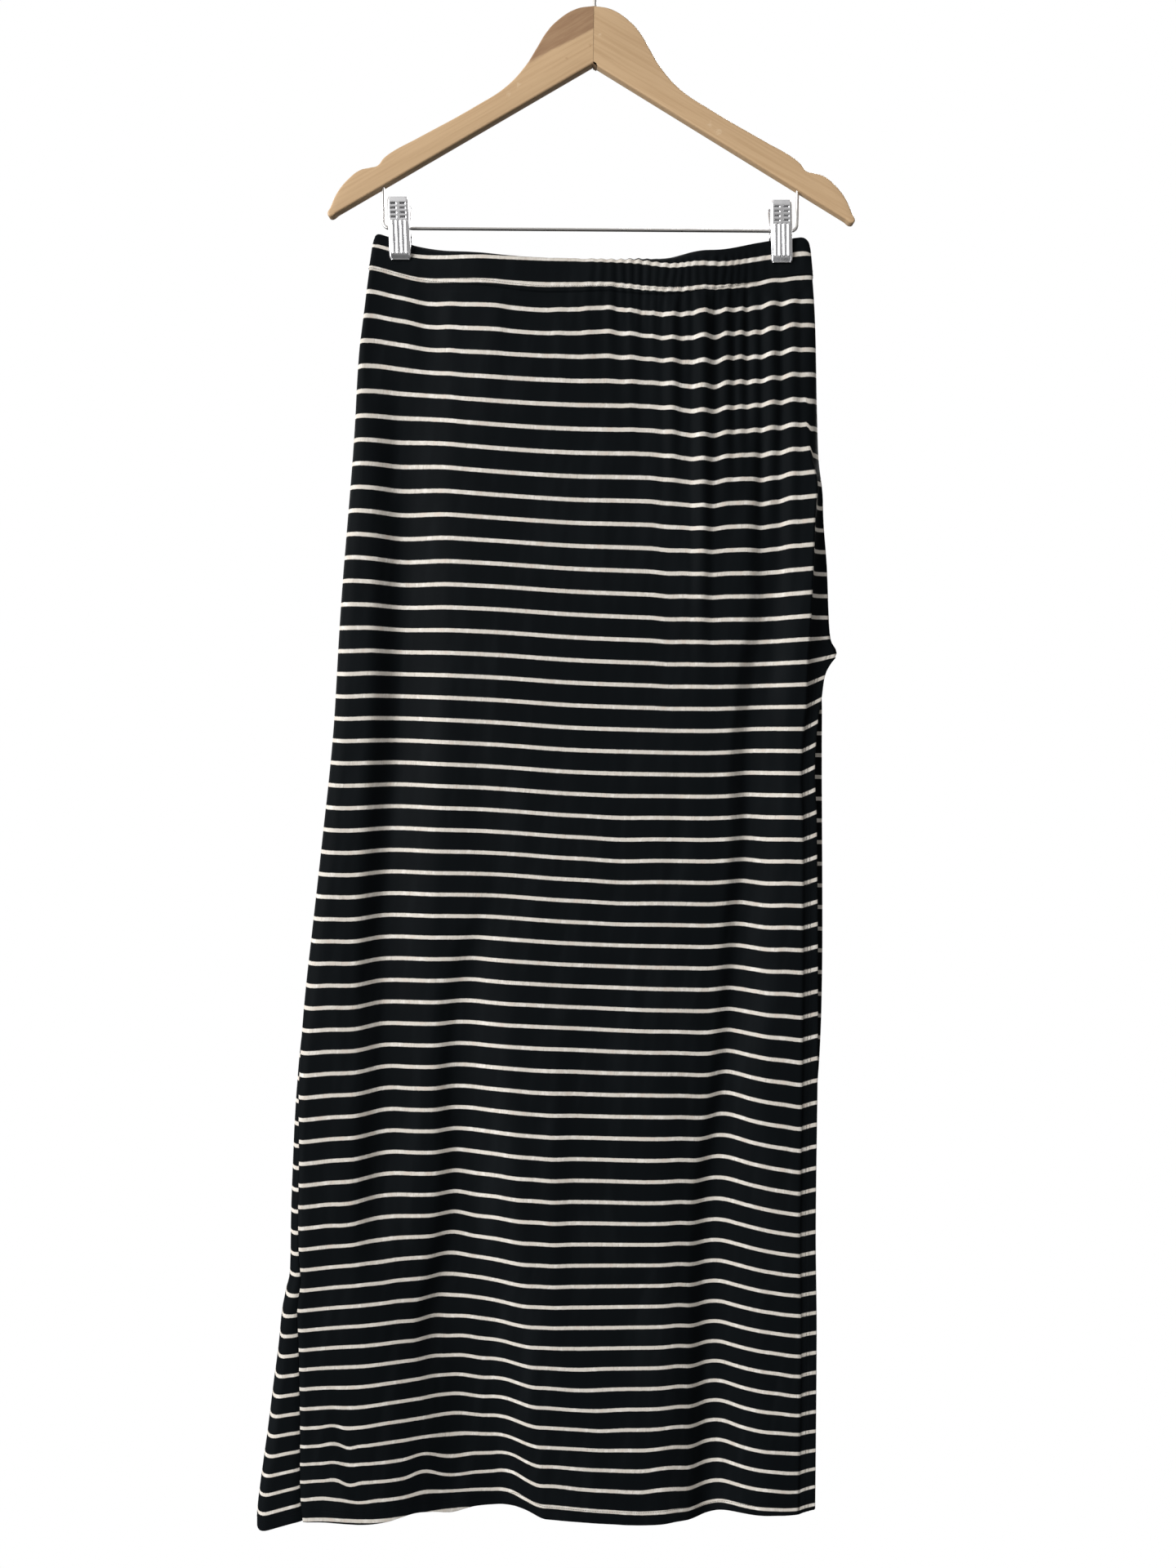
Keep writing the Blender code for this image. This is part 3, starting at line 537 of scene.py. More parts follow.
def makePanel(name, side, material):
    isFront = side["isFront"]
    points, outward, uv = panelPoints(side["levels"], side)
    rows, count = points.shape[:2]

    # the hem, turned up inside
    downward = unit(points[-1] - points[-2])
    hemRows = turnedEdge(points[-1], outward[-1], downward)
    hemUv = [uv[-1] + (0, skirt["foldStep"] * i) for i in range(len(hemRows))]
    upward = panelPoints(skirt["lastLevel"] - np.array(skirt["hemRows"][::-1]), side)
    inside, insideOut, insideUv = (values[::-1] for values in upward)
    spacing = 2 * skirt["foldRadius"]
    for row, rowOut, rowUv in zip(inside, insideOut, insideUv):
        hemRows.append(row - rowOut * spacing)
        hemUv.append(np.stack([rowUv[:, 0], 2 * uv[-1, :, 1] - rowUv[:, 1]], -1))
    full = np.concatenate([points, np.array(hemRows)])
    fullUv = np.concatenate([uv, np.array(hemUv)])

    # the slit's edge, turned in from the slit's top down
    outwardRight = unit(points[:, -1] - points[:, -2])
    sideColumns = turnedEdge(points[:, -1], outward[:, -1], outwardRight)
    sideUv = [uv[:, -1] + (skirt["foldStep"] * i, 0) for i in range(len(sideColumns))]
    for reach in skirt["slitRows"]:
        column, columnOut = fromRightEdge(points, uv, reach), fromRightEdge(outward, uv, reach)
        sideColumns.append(column - unit(columnOut) * spacing)
        sideUv.append(uv[:, -1] - (reach, 0))
    unused = ((0, len(full) - rows), (0, 0), (0, 0))
    full = beside(full, np.pad(np.stack(sideColumns, 1), unused))
    fullUv = beside(fullUv, np.pad(np.stack(sideUv, 1), unused))
    keep = np.zeros((len(full) - 1, full.shape[1] - 1), dtype=bool)
    keep[:, :count - 1] = True
    belowTop = side["levels"][:-1] > skirt["slitLevel"] + skirt["slitClear"]
    keep[:rows - 1, count - 1:] = belowTop[:, None]

    mesh = meshFromGrid(name, full, fullUv, keep, flip=not isFront)
    piece = thickened(name, mesh, skirt["cloth"], material)
    return piece, (points, outward, uv)


def cornerDrop(x):  # the waist's rounded top corners
    total = 0.0
    for corner, radius in waistCorners:
        short = radius - np.minimum(np.abs(x - corner), radius)
        total = total + radius - np.sqrt(radius * radius - short * short)
    return total


def rolled(x, level):  # how the casing's top stands above the roll and leans back: up, back
    length = (band["rollLevel"] - level) * table(turnScale, 1, x)
    bend = table(rollAmount, 1, x) / band["rollRadius"]
    arc = np.minimum(length, band["rollLimit"] / bend)
    rest, turn = length - arc, bend * arc
    return (np.sin(turn) / bend + rest * np.cos(turn),
            (1 - np.cos(turn)) / bend + rest * np.sin(turn))


bandColumns = runs((0.01, 4), (0.06, 8), (0.5, 64), (1.0, 110))
bandStrips = np.linspace(0.08, 1.0, 10)
stitchedShares = np.linspace(1.0, 0.2, 20)  # 1 at the stitched lower edge, 0 at the top
topShares = np.linspace(0.165, 0.02, 7)


def bandHalf(share, isFront):
    level = band["width"] * share[:, None]
    first = np.zeros_like(level)
    x, y, _ = basePoints(level, bandColumns, bandStrips, isFront, first)
    low = table(stitchLevel, 1, x) if isFront else band["backLevel"] + 0 * x
    level = share[:, None] * (low + band["belowStitches"])
    x, y, _ = basePoints(level, bandColumns, bandStrips, isFront, first)
    turning = level < band["rollLevel"]
    up, back = rolled(x, np.minimum(level, band["rollLevel"]))
    z = clothHeight(x, np.maximum(level, band["rollLevel"]), 0.0, isFront) + up * turning
    z = z - cornerDrop(x) * (1 - np.minimum(level / band["rollLevel"], 1))
    points = np.stack([x, y + back * turning, z], -1)
    return points, level, clothRelief(x, level, isFront)


def makeCasing(name, material):
    share = np.concatenate([stitchedShares, topShares])
    halves = zip(bandHalf(share, True), bandHalf(share, False))
    points, level, rise = (beside(front[:, :-1], back[:, :0:-1]) for front, back in halves)
    looped = beside(points[:, -1:], points, points[:, :1])
    outward = -normals(looped)[:, 1:-1]
    grown = ramp(share, *band["reliefRise"])[:, None]
    points = points + outward * (rise * grown)[..., None]
    across = cumulative(points)
    half = band["spacing"]
    upward = unit(points[-1] - points[-2])
    outer = list(points + outward * half)
    inner = list((points - outward * half)[::-1])
    top = []
    for angle in np.radians((30, 60, 90, 120, 150)):
        top.append(points[-1] + half * (outward[-1] * math.cos(angle) + upward * math.sin(angle)))
    # the lower edge of the outer layer is drawn in by its stitches
    outer[0] = outer[0] - outward[0] * band["drawnIn"]
    grid = np.array(outer + top + inner)
    down, length = (np.concatenate([rows, np.repeat(rows[-1:], len(top), axis=0), rows[::-1]])
                    for rows in (level, across))
    uv = np.stack([length, down], -1)
    mesh = meshFromGrid(name, grid, uv, flip=True, ring=True)
    piece = thickened(name, mesh, band["cloth"], material)
    return piece, points + outward * (half + band["cloth"] / 2)


# Materials
def newMaterial(name):
    material = bpy.data.materials.new(name)
    material.use_nodes = True
    tree = material.node_tree
    return material, tree, tree.nodes["Principled BSDF"]


def giveInputs(tree, node, inputs):  # a socket is linked, anything else is set
    for key, value in inputs.items():
        if isinstance(value, bpy.types.NodeSocket):
            tree.links.new(value, node.inputs[key])
        else:
            node.inputs[key].default_value = value


def addNode(tree, kind, settings=None, inputs=None):
    node = tree.nodes.new(kind)
    for key, value in (settings or {}).items():
        setattr(node, key, value)
    giveInputs(tree, node, inputs or {})
    return node


def mathNode(tree, operation, a, b=None, c=None):
    inputs = {i: value for i, value in enumerate((a, b, c)) if value is not None}
    return addNode(tree, "ShaderNodeMath", {"operation": operation}, inputs).outputs[0]


def mixColour(tree, factor, a, b, blend="MIX"):
    return addNode(tree, "ShaderNodeMix", {"data_type": "RGBA", "blend_type": blend},
                   {0: factor, 6: a, 7: b}).outputs[2]


def mapRange(tree, value, low, high, start, end):
    return addNode(tree, "ShaderNodeMapRange", {"interpolation_type": "SMOOTHSTEP"},
                   {0: value, 1: low, 2: high, 3: start, 4: end}).outputs[0]


def tinted(tree, colour, towards, source, low, high, amount):  # as the source rises
    return mixColour(tree, mapRange(tree, source, low, high, 0.0, amount), colour, towards)


def noiseNode(tree, vector, scale, detail=2.0, roughness=0.5):
    inputs = {"Vector": vector, "Scale": scale, "Detail": detail, "Roughness": roughness}
    return addNode(tree, "ShaderNodeTexNoise", None, inputs).outputs[0]


def scaled(tree, vector, across, down, depth=1.0):
    return addNode(tree, "ShaderNodeVectorMath", {"operation": "MULTIPLY"},
                   {0: vector, 1: (across, down, depth)}).outputs[0]


def stretchedNoises(tree, vector, settings):
    return (noiseNode(tree, scaled(tree, vector, *factors), 1.0, detail, roughness)
            for factors, detail, roughness in settings)


def bumpFrom(tree, strength, distance, height):
    inputs = {"Strength": strength, "Distance": distance, "Height": height}
    return addNode(tree, "ShaderNodeBump", None, inputs).outputs[0]


jersey = {
    # the second black is the lighter tone of painted sheen streaks
    "black": (0.0042, 0.0054, 0.0064, 1), "blackSheenStreak": (0.0085, 0.0104, 0.0120, 1),
    "cream": (0.69, 0.645, 0.58, 1), "creamPale": (0.84, 0.80, 0.745, 1),
    "creamShade": (0.48, 0.43, 0.38, 1), "creamPink": (0.68, 0.585, 0.51, 1),
    "pitch": 18.5, "first": 12, "width": 3.2, "edge": 0.35, "wobble": 0.26,
    "wale": 0.62, "course": 0.5, "courseShare": 0.35, "bump": 0.22, "bumpDepth": 0.00012,
    "roughness": 0.5, "specular": 0.02,
}
# scale across and down, detail, roughness: stripe edge, patches, fine marl, painted sheen streaks
# on the black
jerseyNoises = (
    ((0.28, 0.15), 3, 0.6), ((0.17, 0.11), 2, 0.55), ((0.75, 0.12), 2, 0.6),
    ((0.05, 0.007), 2, 0.55)
)


def makeJersey():
    material, tree, shader = newMaterial("stripedJersey")
    uvMap = addNode(tree, "ShaderNodeUVMap", {"uv_map": "cloth"}).outputs[0]
    millimetres = scaled(tree, uvMap, 1000, 1000)
    split = addNode(tree, "ShaderNodeSeparateXYZ", None, {0: millimetres})
    across, level = split.outputs[0], split.outputs[1]
    uneven, patches, fine, sheenStreaks = stretchedNoises(tree, millimetres, jerseyNoises)

    # how far from the middle of the nearest stripe, with a slightly uneven edge
    wobble = mathNode(tree, "MULTIPLY_ADD", uneven, 2 * jersey["wobble"], -jersey["wobble"])
    place = mathNode(tree, "ADD", level, jersey["pitch"] / 2 - jersey["first"])
    place = mathNode(tree, "FLOORED_MODULO", place, jersey["pitch"])
    place = mathNode(tree, "ABSOLUTE", mathNode(tree, "SUBTRACT", place, jersey["pitch"] / 2))
    distance = mathNode(tree, "ADD", place, wobble)
    half = jersey["width"] / 2
    isCream = mapRange(tree, distance, half - jersey["edge"], half + jersey["edge"], 1.0, 0.0)

    # the cream is marled, in patches a few stitches wide
    cream = tinted(tree, jersey["cream"], jersey["creamPale"], patches, 0.5, 0.68, 0.8)
    cream = tinted(tree, cream, jersey["creamPink"], patches, 0.44, 0.30, 0.65)
    cream = tinted(tree, cream, jersey["creamShade"], fine, 0.52, 0.74, 0.55)
    # the black is lightened in long vertical streaks: painted sheen, standing in for light caught
    # on soft folds
    black = tinted(tree, jersey["black"], jersey["blackSheenStreak"], sheenStreaks, 0.45, 0.75, 0.55)
    colour = mixColour(tree, isCream, black, cream)

    # knit: wales run down, courses across, each loop a small bead
    wale, course = (mathNode(tree, "SINE", mathNode(tree, "MULTIPLY", way, 2 * math.pi / pitch))
                    for way, pitch in ((across, jersey["wale"]), (level, jersey["course"])))
    knit = mathNode(tree, "MULTIPLY_ADD", course, jersey["courseShare"], wale)
    # the colour is darkened where the knit dips between loops: painted shade
    tone = mapRange(tree, knit, -1.2, -0.2, 0.92, 1.0)
    knitPaintedShade = addNode(tree, "ShaderNodeCombineColor", None, {0: tone, 1: tone, 2: tone})
    giveInputs(tree, shader, {
        "Base Color": mixColour(tree, 1.0, colour, knitPaintedShade.outputs[0], "MULTIPLY"),
        "Normal": bumpFrom(tree, jersey["bump"], jersey["bumpDepth"], knit),
        "Roughness": jersey["roughness"], "Specular IOR Level": jersey["specular"]})
    return material


thread = {"dark": (0.0015, 0.0021, 0.0024, 1), "pale": (0.0042, 0.0052, 0.0058, 1),
          "clouds": 2500, "detail": 2, "roughness": 0.6, "specular": 0.05}
# dark glue in the joint, also used as painted shade for the shadowed gap in the corner below it
glueWithGapShade = {"dark": (0.17, 0.10, 0.052, 1), "pale": (0.30, 0.19, 0.105, 1),
        "clouds": 400, "detail": 3, "roughness": 0.6, "specular": 0.5}


def makeTwoToned(name, look):
    material, tree, shader = newMaterial(name)
    place = addNode(tree, "ShaderNodeTexCoord").outputs["Object"]
    tone = noiseNode(tree, place, look["clouds"], look["detail"])
    giveInputs(tree, shader, {"Base Color": mixColour(tree, tone, look["dark"], look["pale"]),
                              "Roughness": look["roughness"],
                              "Specular IOR Level": look["specular"]})
    return material


wood = {
    "light": (0.58, 0.395, 0.225, 1), "dark": (0.48, 0.31, 0.165, 1),
    "pore": (0.36, 0.21, 0.10, 1), "heart": (0.25, 0.135, 0.07, 1), "pale": (0.72, 0.55, 0.36, 1),
    "slope": 29, "rings": 34, "roughness": 0.36, "roughSpread": 0.12,
    "bump": 0.25, "bumpDepth": 0.0001, "specular": 0.4, "coat": 0.15, "coatRoughness": 0.25,
    "heartTop": -84.6, "heartSlope": 0.502, "heartWander": 5, "heartReach": 3.5,
    "markWander": 3.2, "darkMark": 0.6, "paleMark": 0.45,
}
# scale along, through and across the grain, detail, roughness: grain, rings, pores, heart streak
woodNoises = (
    ((0.012, 0.25, 0.42), 5, 0.6), ((0.004, 0.05, 0.12), 2, 0.5), ((0.22, 2.4, 2.6), 1, 0.5),
    ((0.05, 0.4, 0.5), 3, 0.6)
)
# across, height, radius, 1 dark or 0 pale: small marks in the lacquered wood
woodMarks = (
    (-3.9, -96.2, 1.5, 1), (-22.7, -106, 1.2, 1), (4, -88, 1.6, 0), (-69.4, -133.9, 2.4, 0),
    (-61.3, -126.9, 2.2, 0), (100, -163.5, 3.2, 0), (93, -158, 2.6, 0)
)


def makeWood(side):
    material, tree, shader = newMaterial("lacqueredWood" + ("Right" if side > 0 else "Left"))
    place = addNode(tree, "ShaderNodeTexCoord").outputs["Object"]
    turned = (0, -math.radians(wood["slope"]) * side, 0)
    along = addNode(tree, "ShaderNodeMapping", None, {
        "Vector": place, "Rotation": turned, "Scale": (1000, 1000, 1000)}).outputs[0]
    grain, rings, pores, streak = stretchedNoises(tree, along, woodNoises)
    ringWave = mathNode(tree, "SINE", mathNode(tree, "MULTIPLY", rings, wood["rings"]))
    colour = tinted(tree, wood["light"], wood["dark"], grain, 0.38, 0.72, 0.75)
    colour = tinted(tree, colour, wood["dark"], ringWave, 0.2, 1.0, 0.14)
    colour = tinted(tree, colour, wood["pore"], pores, 0.68, 0.78, 0.22)
    if side < 0:
        # a streak of heartwood at the top of the joint
        split = addNode(tree, "ShaderNodeSeparateXYZ", None,
                        {0: scaled(tree, place, 1000, 1000, 1000)})
        edge = mathNode(tree, "MULTIPLY_ADD", split.outputs[0], wood["heartSlope"],
                        wood["heartTop"])
        above = mathNode(tree, "SUBTRACT", split.outputs[2], edge)
        above = mathNode(tree, "MULTIPLY_ADD", streak, wood["heartWander"],
                         mathNode(tree, "SUBTRACT", above, wood["heartWander"] / 2))
        mottled = mapRange(tree, streak, 0.3, 0.7, 0.74, 0.95)
        near = mapRange(tree, above, 0.0, wood["heartReach"], 0.0, 0.9)
        colour = mixColour(tree, mathNode(tree, "MULTIPLY", near, mottled), colour, wood["heart"])
    specks = noiseNode(tree, scaled(tree, place, 700, 700, 700), 1.0, 2.0, 0.6)
    for across, height, radius, isDark in woodMarks:
        if (across < 0) != (side < 0):
            continue
        away = addNode(tree, "ShaderNodeVectorMath", {"operation": "DISTANCE"},
                       {0: scaled(tree, place, 1000, 0, 1000), 1: (across, 0, height)}).outputs[1]
        wander = radius * wood["markWander"]
        away = mathNode(tree, "MULTIPLY_ADD", specks, wander,
                        mathNode(tree, "SUBTRACT", away, wander / 2))
        strength = wood["darkMark"] if isDark else wood["paleMark"]
        colour = mixColour(tree, mapRange(tree, away, 0.0, radius, strength, 0.0), colour,
                           wood["pore"] if isDark else wood["pale"])
    roughness = wood["roughness"]
    giveInputs(tree, shader, {
        "Base Color": colour, "Specular IOR Level": wood["specular"],
        "Roughness": mapRange(tree, grain, 0.3, 0.7, roughness, roughness + wood["roughSpread"]),
        "Normal": bumpFrom(tree, wood["bump"], wood["bumpDepth"], pores),
        "Coat Weight": wood["coat"], "Coat Roughness": wood["coatRoughness"]})
    return material


steel = {
    "darker": 0.8, "roughSpread": 0.14, "bump": 0.12, "bumpDepth": 0.0001, "finer": 9,
    "pressed": ((0.84, 0.84, 0.86, 1), 0.2, 90), "drawn": ((0.66, 0.64, 0.62, 1), 0.24, 60),
}


def makeSteel(name, colour, roughness, clouds):
    material, tree, shader = newMaterial(name)
    place = addNode(tree, "ShaderNodeTexCoord").outputs["Object"]
    cloudy = noiseNode(tree, place, clouds, 4.0, 0.6)
    darker = tuple(c * steel["darker"] for c in colour[:3]) + (1,)
    finer = noiseNode(tree, place, clouds * steel["finer"])
    giveInputs(tree, shader, {
        "Base Color": tinted(tree, colour, darker, cloudy, 0.35, 0.7, 1.0), "Metallic": 1.0,
        "Roughness": mapRange(tree, cloudy, 0.3, 0.7, roughness, roughness + steel["roughSpread"]),
        "Normal": bumpFrom(tree, steel["bump"], steel["bumpDepth"], finer)})
    return material


jerseyMaterial = makeJersey()
threadMaterial = makeTwoToned("blackThread", thread)
woodMaterials = {side: makeWood(side) for side in (-1, 1)}
glueAndGapShadeMaterial = makeTwoToned("darkGlueAndPaintedGapShade", glueWithGapShade)
clipMaterial = makeSteel("pressedSteel", *steel["pressed"])
wireMaterial = makeSteel("drawnWire", *steel["drawn"])
print("materials made")

# The skirt
frontSide = {
    "isFront": True, "hem": hemFront, "strips": np.linspace(0.09, 1.0, 11),
    "columns": runs((0.004, 2), (0.03, 6), (0.52, 62), (1.0, 88)),
    "levels": levelsFrom((25, 110, 34), (113.5, 340, 60), (344.5, 1040, 150), (1043.5, 1072, 12)),
}
backSide = {
    "isFront": False, "hem": hemBack, "strips": np.linspace(0.12, 1.0, 8),
    "columns": runs((0.004, 2), (0.13, 24), (1.0, 118)),
    "levels": levelsFrom((25, 110, 28), (114, 340, 50), (345, 1040, 130), (1044, 1072, 10)),
}
frontPanel, frontGrid = makePanel("frontPanel", frontSide, jerseyMaterial)
backPanel, backGrid = makePanel("backPanel", backSide, jerseyMaterial)
casing, casingFace = makeCasing("waistCasing", jerseyMaterial)
print("cloth made:", [len(p.data.polygons) for p in (frontPanel, backPanel, casing)])

# Sewing
stitches = {
    "pitch": 2.1, "length": 2, "thickness": 0.32, "proud": 0.08, "aboveSlit": 4,
    "casingRows": (0.9, 3.9), "hemRows": (7.6, 10.8), "slitRows": (5.5, 8.3),
}


def socketNamed(tree, name):
    return next(item.identifier for item in tree.interface.items_tree if item.name == name)


def stitchTree():
    tree = bpy.data.node_groups.new("stitchesAlongPath", "GeometryNodeTree")
    for name, way, kind in (("Geometry", "INPUT", "Geometry"), ("Pitch", "INPUT", "Float"),
                            ("Length", "INPUT", "Float"), ("Thickness", "INPUT", "Float"),
                            ("Material", "INPUT", "Material"), ("Geometry", "OUTPUT", "Geometry")):
        tree.interface.new_socket(name, in_out=way, socket_type="NodeSocket" + kind)
    given = tree.nodes.new("NodeGroupInput").outputs
    curve = addNode(tree, "GeometryNodeMeshToCurve", None, {"Mesh": given["Geometry"]})
    spaced = addNode(tree, "GeometryNodeResampleCurve", {"mode": "LENGTH"},
                     {"Curve": curve.outputs[0], "Length": given["Pitch"]})
    bead = addNode(tree, "GeometryNodeMeshUVSphere", None,
                   {"Segments": 6, "Rings": 4, "Radius": 0.5})
    tangent = addNode(tree, "GeometryNodeInputTangent").outputs[0]
    facing = addNode(tree, "FunctionNodeAlignEulerToVector", {"axis": "Z"}, {"Vector": tangent})
    size = addNode(tree, "ShaderNodeCombineXYZ", None,
                   {0: given["Thickness"], 1: given["Thickness"], 2: given["Length"]})
    placed = addNode(tree, "GeometryNodeInstanceOnPoints", None, {
        "Points": spaced.outputs[0], "Instance": bead.outputs["Mesh"],
        "Rotation": facing.outputs[0], "Scale": size.outputs[0]})
    real = addNode(tree, "GeometryNodeRealizeInstances", None, {0: placed.outputs[0]})
    finish = addNode(tree, "GeometryNodeSetMaterial", None,
                     {"Geometry": real.outputs[0], "Material": given["Material"]})
    addNode(tree, "NodeGroupOutput", None, {0: finish.outputs[0]})
    return tree


stitchGroup = stitchTree()


def sewPaths(name, paths):
    vertices, edges = [], []
    for path in paths:
        start = len(vertices)
        vertices += [tuple(point * mm) for point in path]
        edges += [(start + i, start + i + 1) for i in range(len(path) - 1)]
    mesh = bpy.data.meshes.new(name)
    mesh.from_pydata(vertices, edges, [])
    piece = linked(name, mesh)
    modifier = piece.modifiers.new("stitches", "NODES")
    modifier.node_group = stitchGroup
    for key in ("Pitch", "Length", "Thickness"):
        modifier[socketNamed(stitchGroup, key)] = stitches[key.lower()] * mm
    modifier[socketNamed(stitchGroup, "Material")] = threadMaterial
    applyModifiers(piece)
    return piece


def outerFace(grid):
    points, outward, uv = grid
    return points + outward * (skirt["cloth"] / 2 + stitches["proud"]), uv


def hemPath(grid, height):  # a row of stitches above the hem
    lifted, uv = outerFace(grid)
    return np.array([[np.interp(uv[-1, c, 1] - height, uv[:, c, 1], lifted[:, c, k])
                      for k in range(3)] for c in range(lifted.shape[1])])


def slitPath(grid, away):  # a row of stitches beside the slit's edge
    lifted, uv = outerFace(grid)
    rows = uv[:, 0, 1] >= skirt["slitLevel"] - stitches["aboveSlit"]
    return fromRightEdge(lifted[rows], uv[rows], away)


def casingPath(above):  # a row of stitches above the casing's lower edge
    step = stitchedShares[1] - stitchedShares[0]
    row = (1 - above / band["height"] - stitchedShares[0]) / step
    first, part = int(row), row - int(row)
    line = casingFace[first] * (1 - part) + casingFace[first + 1] * part
    return np.concatenate([line, line[:1]])


casingSewing = sewPaths("casingStitches", [casingPath(up) for up in stitches["casingRows"]])
hemSewing = sewPaths("hemStitches", [hemPath(grid, up) for grid in (frontGrid, backGrid)
                                     for up in stitches["hemRows"]])
slitSewing = sewPaths("slitStitches", [slitPath(grid, away) for grid in (frontGrid, backGrid)
                                       for away in stitches["slitRows"]])
print("sewing made")

# The hanger
hanger = {
    "halfThickness": 4.5, "edgeRound": 1.5, "roll": math.radians(0.7), "jointGap": 0.3,
    "glueAndGapShadeInset": 0.04, "hookWire": 3.6, "crook": 19.0, "shankEnd": -86.0, "crookStart": -32.0,
    "tipAngle": 200.0, "tipSteps": (0.4, 0.8, 1.1, 1.4, 1.6, 1.72), "tipStart": 0.15,
    "barWire": 2.6, "barEnds": (-172.6, 165.2), "barBend": 5.5, "barTop": -196.0,
}
# outline of the right arm, clockwise from the top of the joint: across, height, 1 if smooth
armOutline = (
    (-5, -65.3, 0), (0, -65.3, 0), (14.5, -67.9, 1), (30, -77.6, 1), (38, -86.2, 1), (46, -99, 1),
    (54, -111.5, 1), (70, -128.5, 1), (94, -143.8, 1), (141, -169.4, 1), (163, -181.2, 1),
    (169, -185.8, 1), (174, -191.6, 1), (180, -193.2, 1), (188, -195.2, 1), (197, -201.8, 1),
    (206.5, -213, 1), (212, -224.5, 1), (214.4, -230.6, 1), (212.2, -232.2, 1), (206, -228.7, 0),
    (0, -110, 0), (-5, -107.1, 0)
)
# across, height: the dark glue in the joint, and a dark wedge in the corner below it that is
# painted shade for the shadowed gap there
glueAndGapShadeOutline = (
    (-0.14, -66), (-0.14, -110.2), (0, -110.6), (0.9, -110.9), (1.8, -111.4), (2.6, -111.8),
    (0.14, -110.2), (0.14, -66)
)


def settled(thing, matrix, name):  # a plain mesh whose place is in its vertices
    mesh = evaluated(thing)
    mesh.transform(matrix)
    bm = bmesh.new()
    bm.from_mesh(mesh)
    bmesh.ops.remove_doubles(bm, verts=bm.verts, dist=1e-6)
    bmesh.ops.recalc_face_normals(bm, faces=bm.faces)
    bm.to_mesh(mesh)
    bm.free()
    bpy.data.objects.remove(thing, do_unlink=True)
    mesh.name = name
    return linked(name, mesh)


def makeArm(side):
    name = "woodArmRight" if side > 0 else "woodArmLeft"
    curve = bpy.data.curves.new(name, "CURVE")
    curve.dimensions = "2D"
    curve.fill_mode = "BOTH"
    curve.resolution_u = 14
    curve.bevel_depth = hanger["edgeRound"] * mm
    curve.bevel_resolution = 4
    curve.offset = -hanger["edgeRound"] * mm
    curve.extrude = (hanger["halfThickness"] - hanger["edgeRound"]) * mm
    spline = curve.splines.new("BEZIER")
    spline.bezier_points.add(len(armOutline) - 1)
    spline.use_cyclic_u = True
    for point, (x, z, isSmooth) in zip(spline.bezier_points, armOutline):
        point.co = (side * x * mm, z * mm, 0)
        kind = "AUTO" if isSmooth else "VECTOR"
        point.handle_left_type = point.handle_right_type = kind
    arm = linked(name, curve, woodMaterials[side])
    bpy.context.view_layer.update()
    made = settled(arm, Matrix.Rotation(math.radians(90), 4, "X"), name)
    bm = bmesh.new()
    bm.from_mesh(made.data)
    cut = bmesh.ops.bisect_plane(bm, geom=bm.verts[:] + bm.edges[:] + bm.faces[:], dist=1e-6,
                                 plane_co=(side * hanger["jointGap"] / 2 * mm, 0, 0),
                                 plane_no=(-side, 0, 0), clear_outer=True)
    openEdges = [edge for edge in cut["geom_cut"] if isinstance(edge, bmesh.types.BMEdge)]
    bmesh.ops.contextual_create(bm, geom=openEdges)
    bm.transform(Matrix.Rotation(hanger["roll"], 4, "Y"))
    bmesh.ops.recalc_face_normals(bm, faces=bm.faces)
    bm.to_mesh(made.data)
    bm.free()
    made.data.set_sharp_from_angle(angle=math.radians(40))
    return made


# the glue line in the joint, with a wedge of painted shade under it
def makeGlueAndGapShade():
    bm = bmesh.new()
    depth, count = hanger["halfThickness"] - hanger["glueAndGapShadeInset"], len(glueAndGapShadeOutline)
    rings = [[bm.verts.new((x * mm, y * mm, z * mm)) for x, z in glueAndGapShadeOutline]
             for y in (-depth, depth)]
    for i in range(count):
        j = (i + 1) % count
        bm.faces.new((rings[0][i], rings[0][j], rings[1][j], rings[1][i]))
    bm.faces.new(rings[0])
    bm.faces.new(rings[1][::-1])
    bm.transform(Matrix.Rotation(hanger["roll"], 4, "Y"))
    bmesh.ops.triangulate(bm, faces=bm.faces)
    bmesh.ops.recalc_face_normals(bm, faces=bm.faces)
    mesh = bpy.data.meshes.new("glueAndGapShade")
    bm.to_mesh(mesh)
    bm.free()
    return linked("glueAndGapShade", mesh, glueAndGapShadeMaterial)


def arcPoints(centreX, centreZ, radius, start, end, cells):
    angles = np.radians(np.linspace(start, end, cells + 1))
    return [(centreX + radius * math.cos(a), 0.0, centreZ + radius * math.sin(a)) for a in angles]


def makeWire(name, path, diameter, sides, ballTip=0):  # ballTip counts the points of a round end
    curve = bpy.data.curves.new(name, "CURVE")
    curve.dimensions = "3D"
    curve.bevel_depth = diameter / 2 * mm
    curve.bevel_resolution = sides
    curve.use_fill_caps = True
    spline = curve.splines.new("POLY")
    spline.points.add(len(path) - 1)
    for i, (point, spot) in enumerate(zip(spline.points, path)):
        point.co = (*(c * mm for c in spot), 1)
        fromEnd = len(path) - 1 - i
        if fromEnd < ballTip:
            short = 1 - (fromEnd + hanger["tipStart"]) / ballTip
            point.radius = math.sqrt(1 - short ** 2)
    made = settled(linked(name, curve, wireMaterial), Matrix(), name)
    made.data.shade_smooth()
    made.data.set_sharp_from_angle(angle=math.radians(50))
    return made


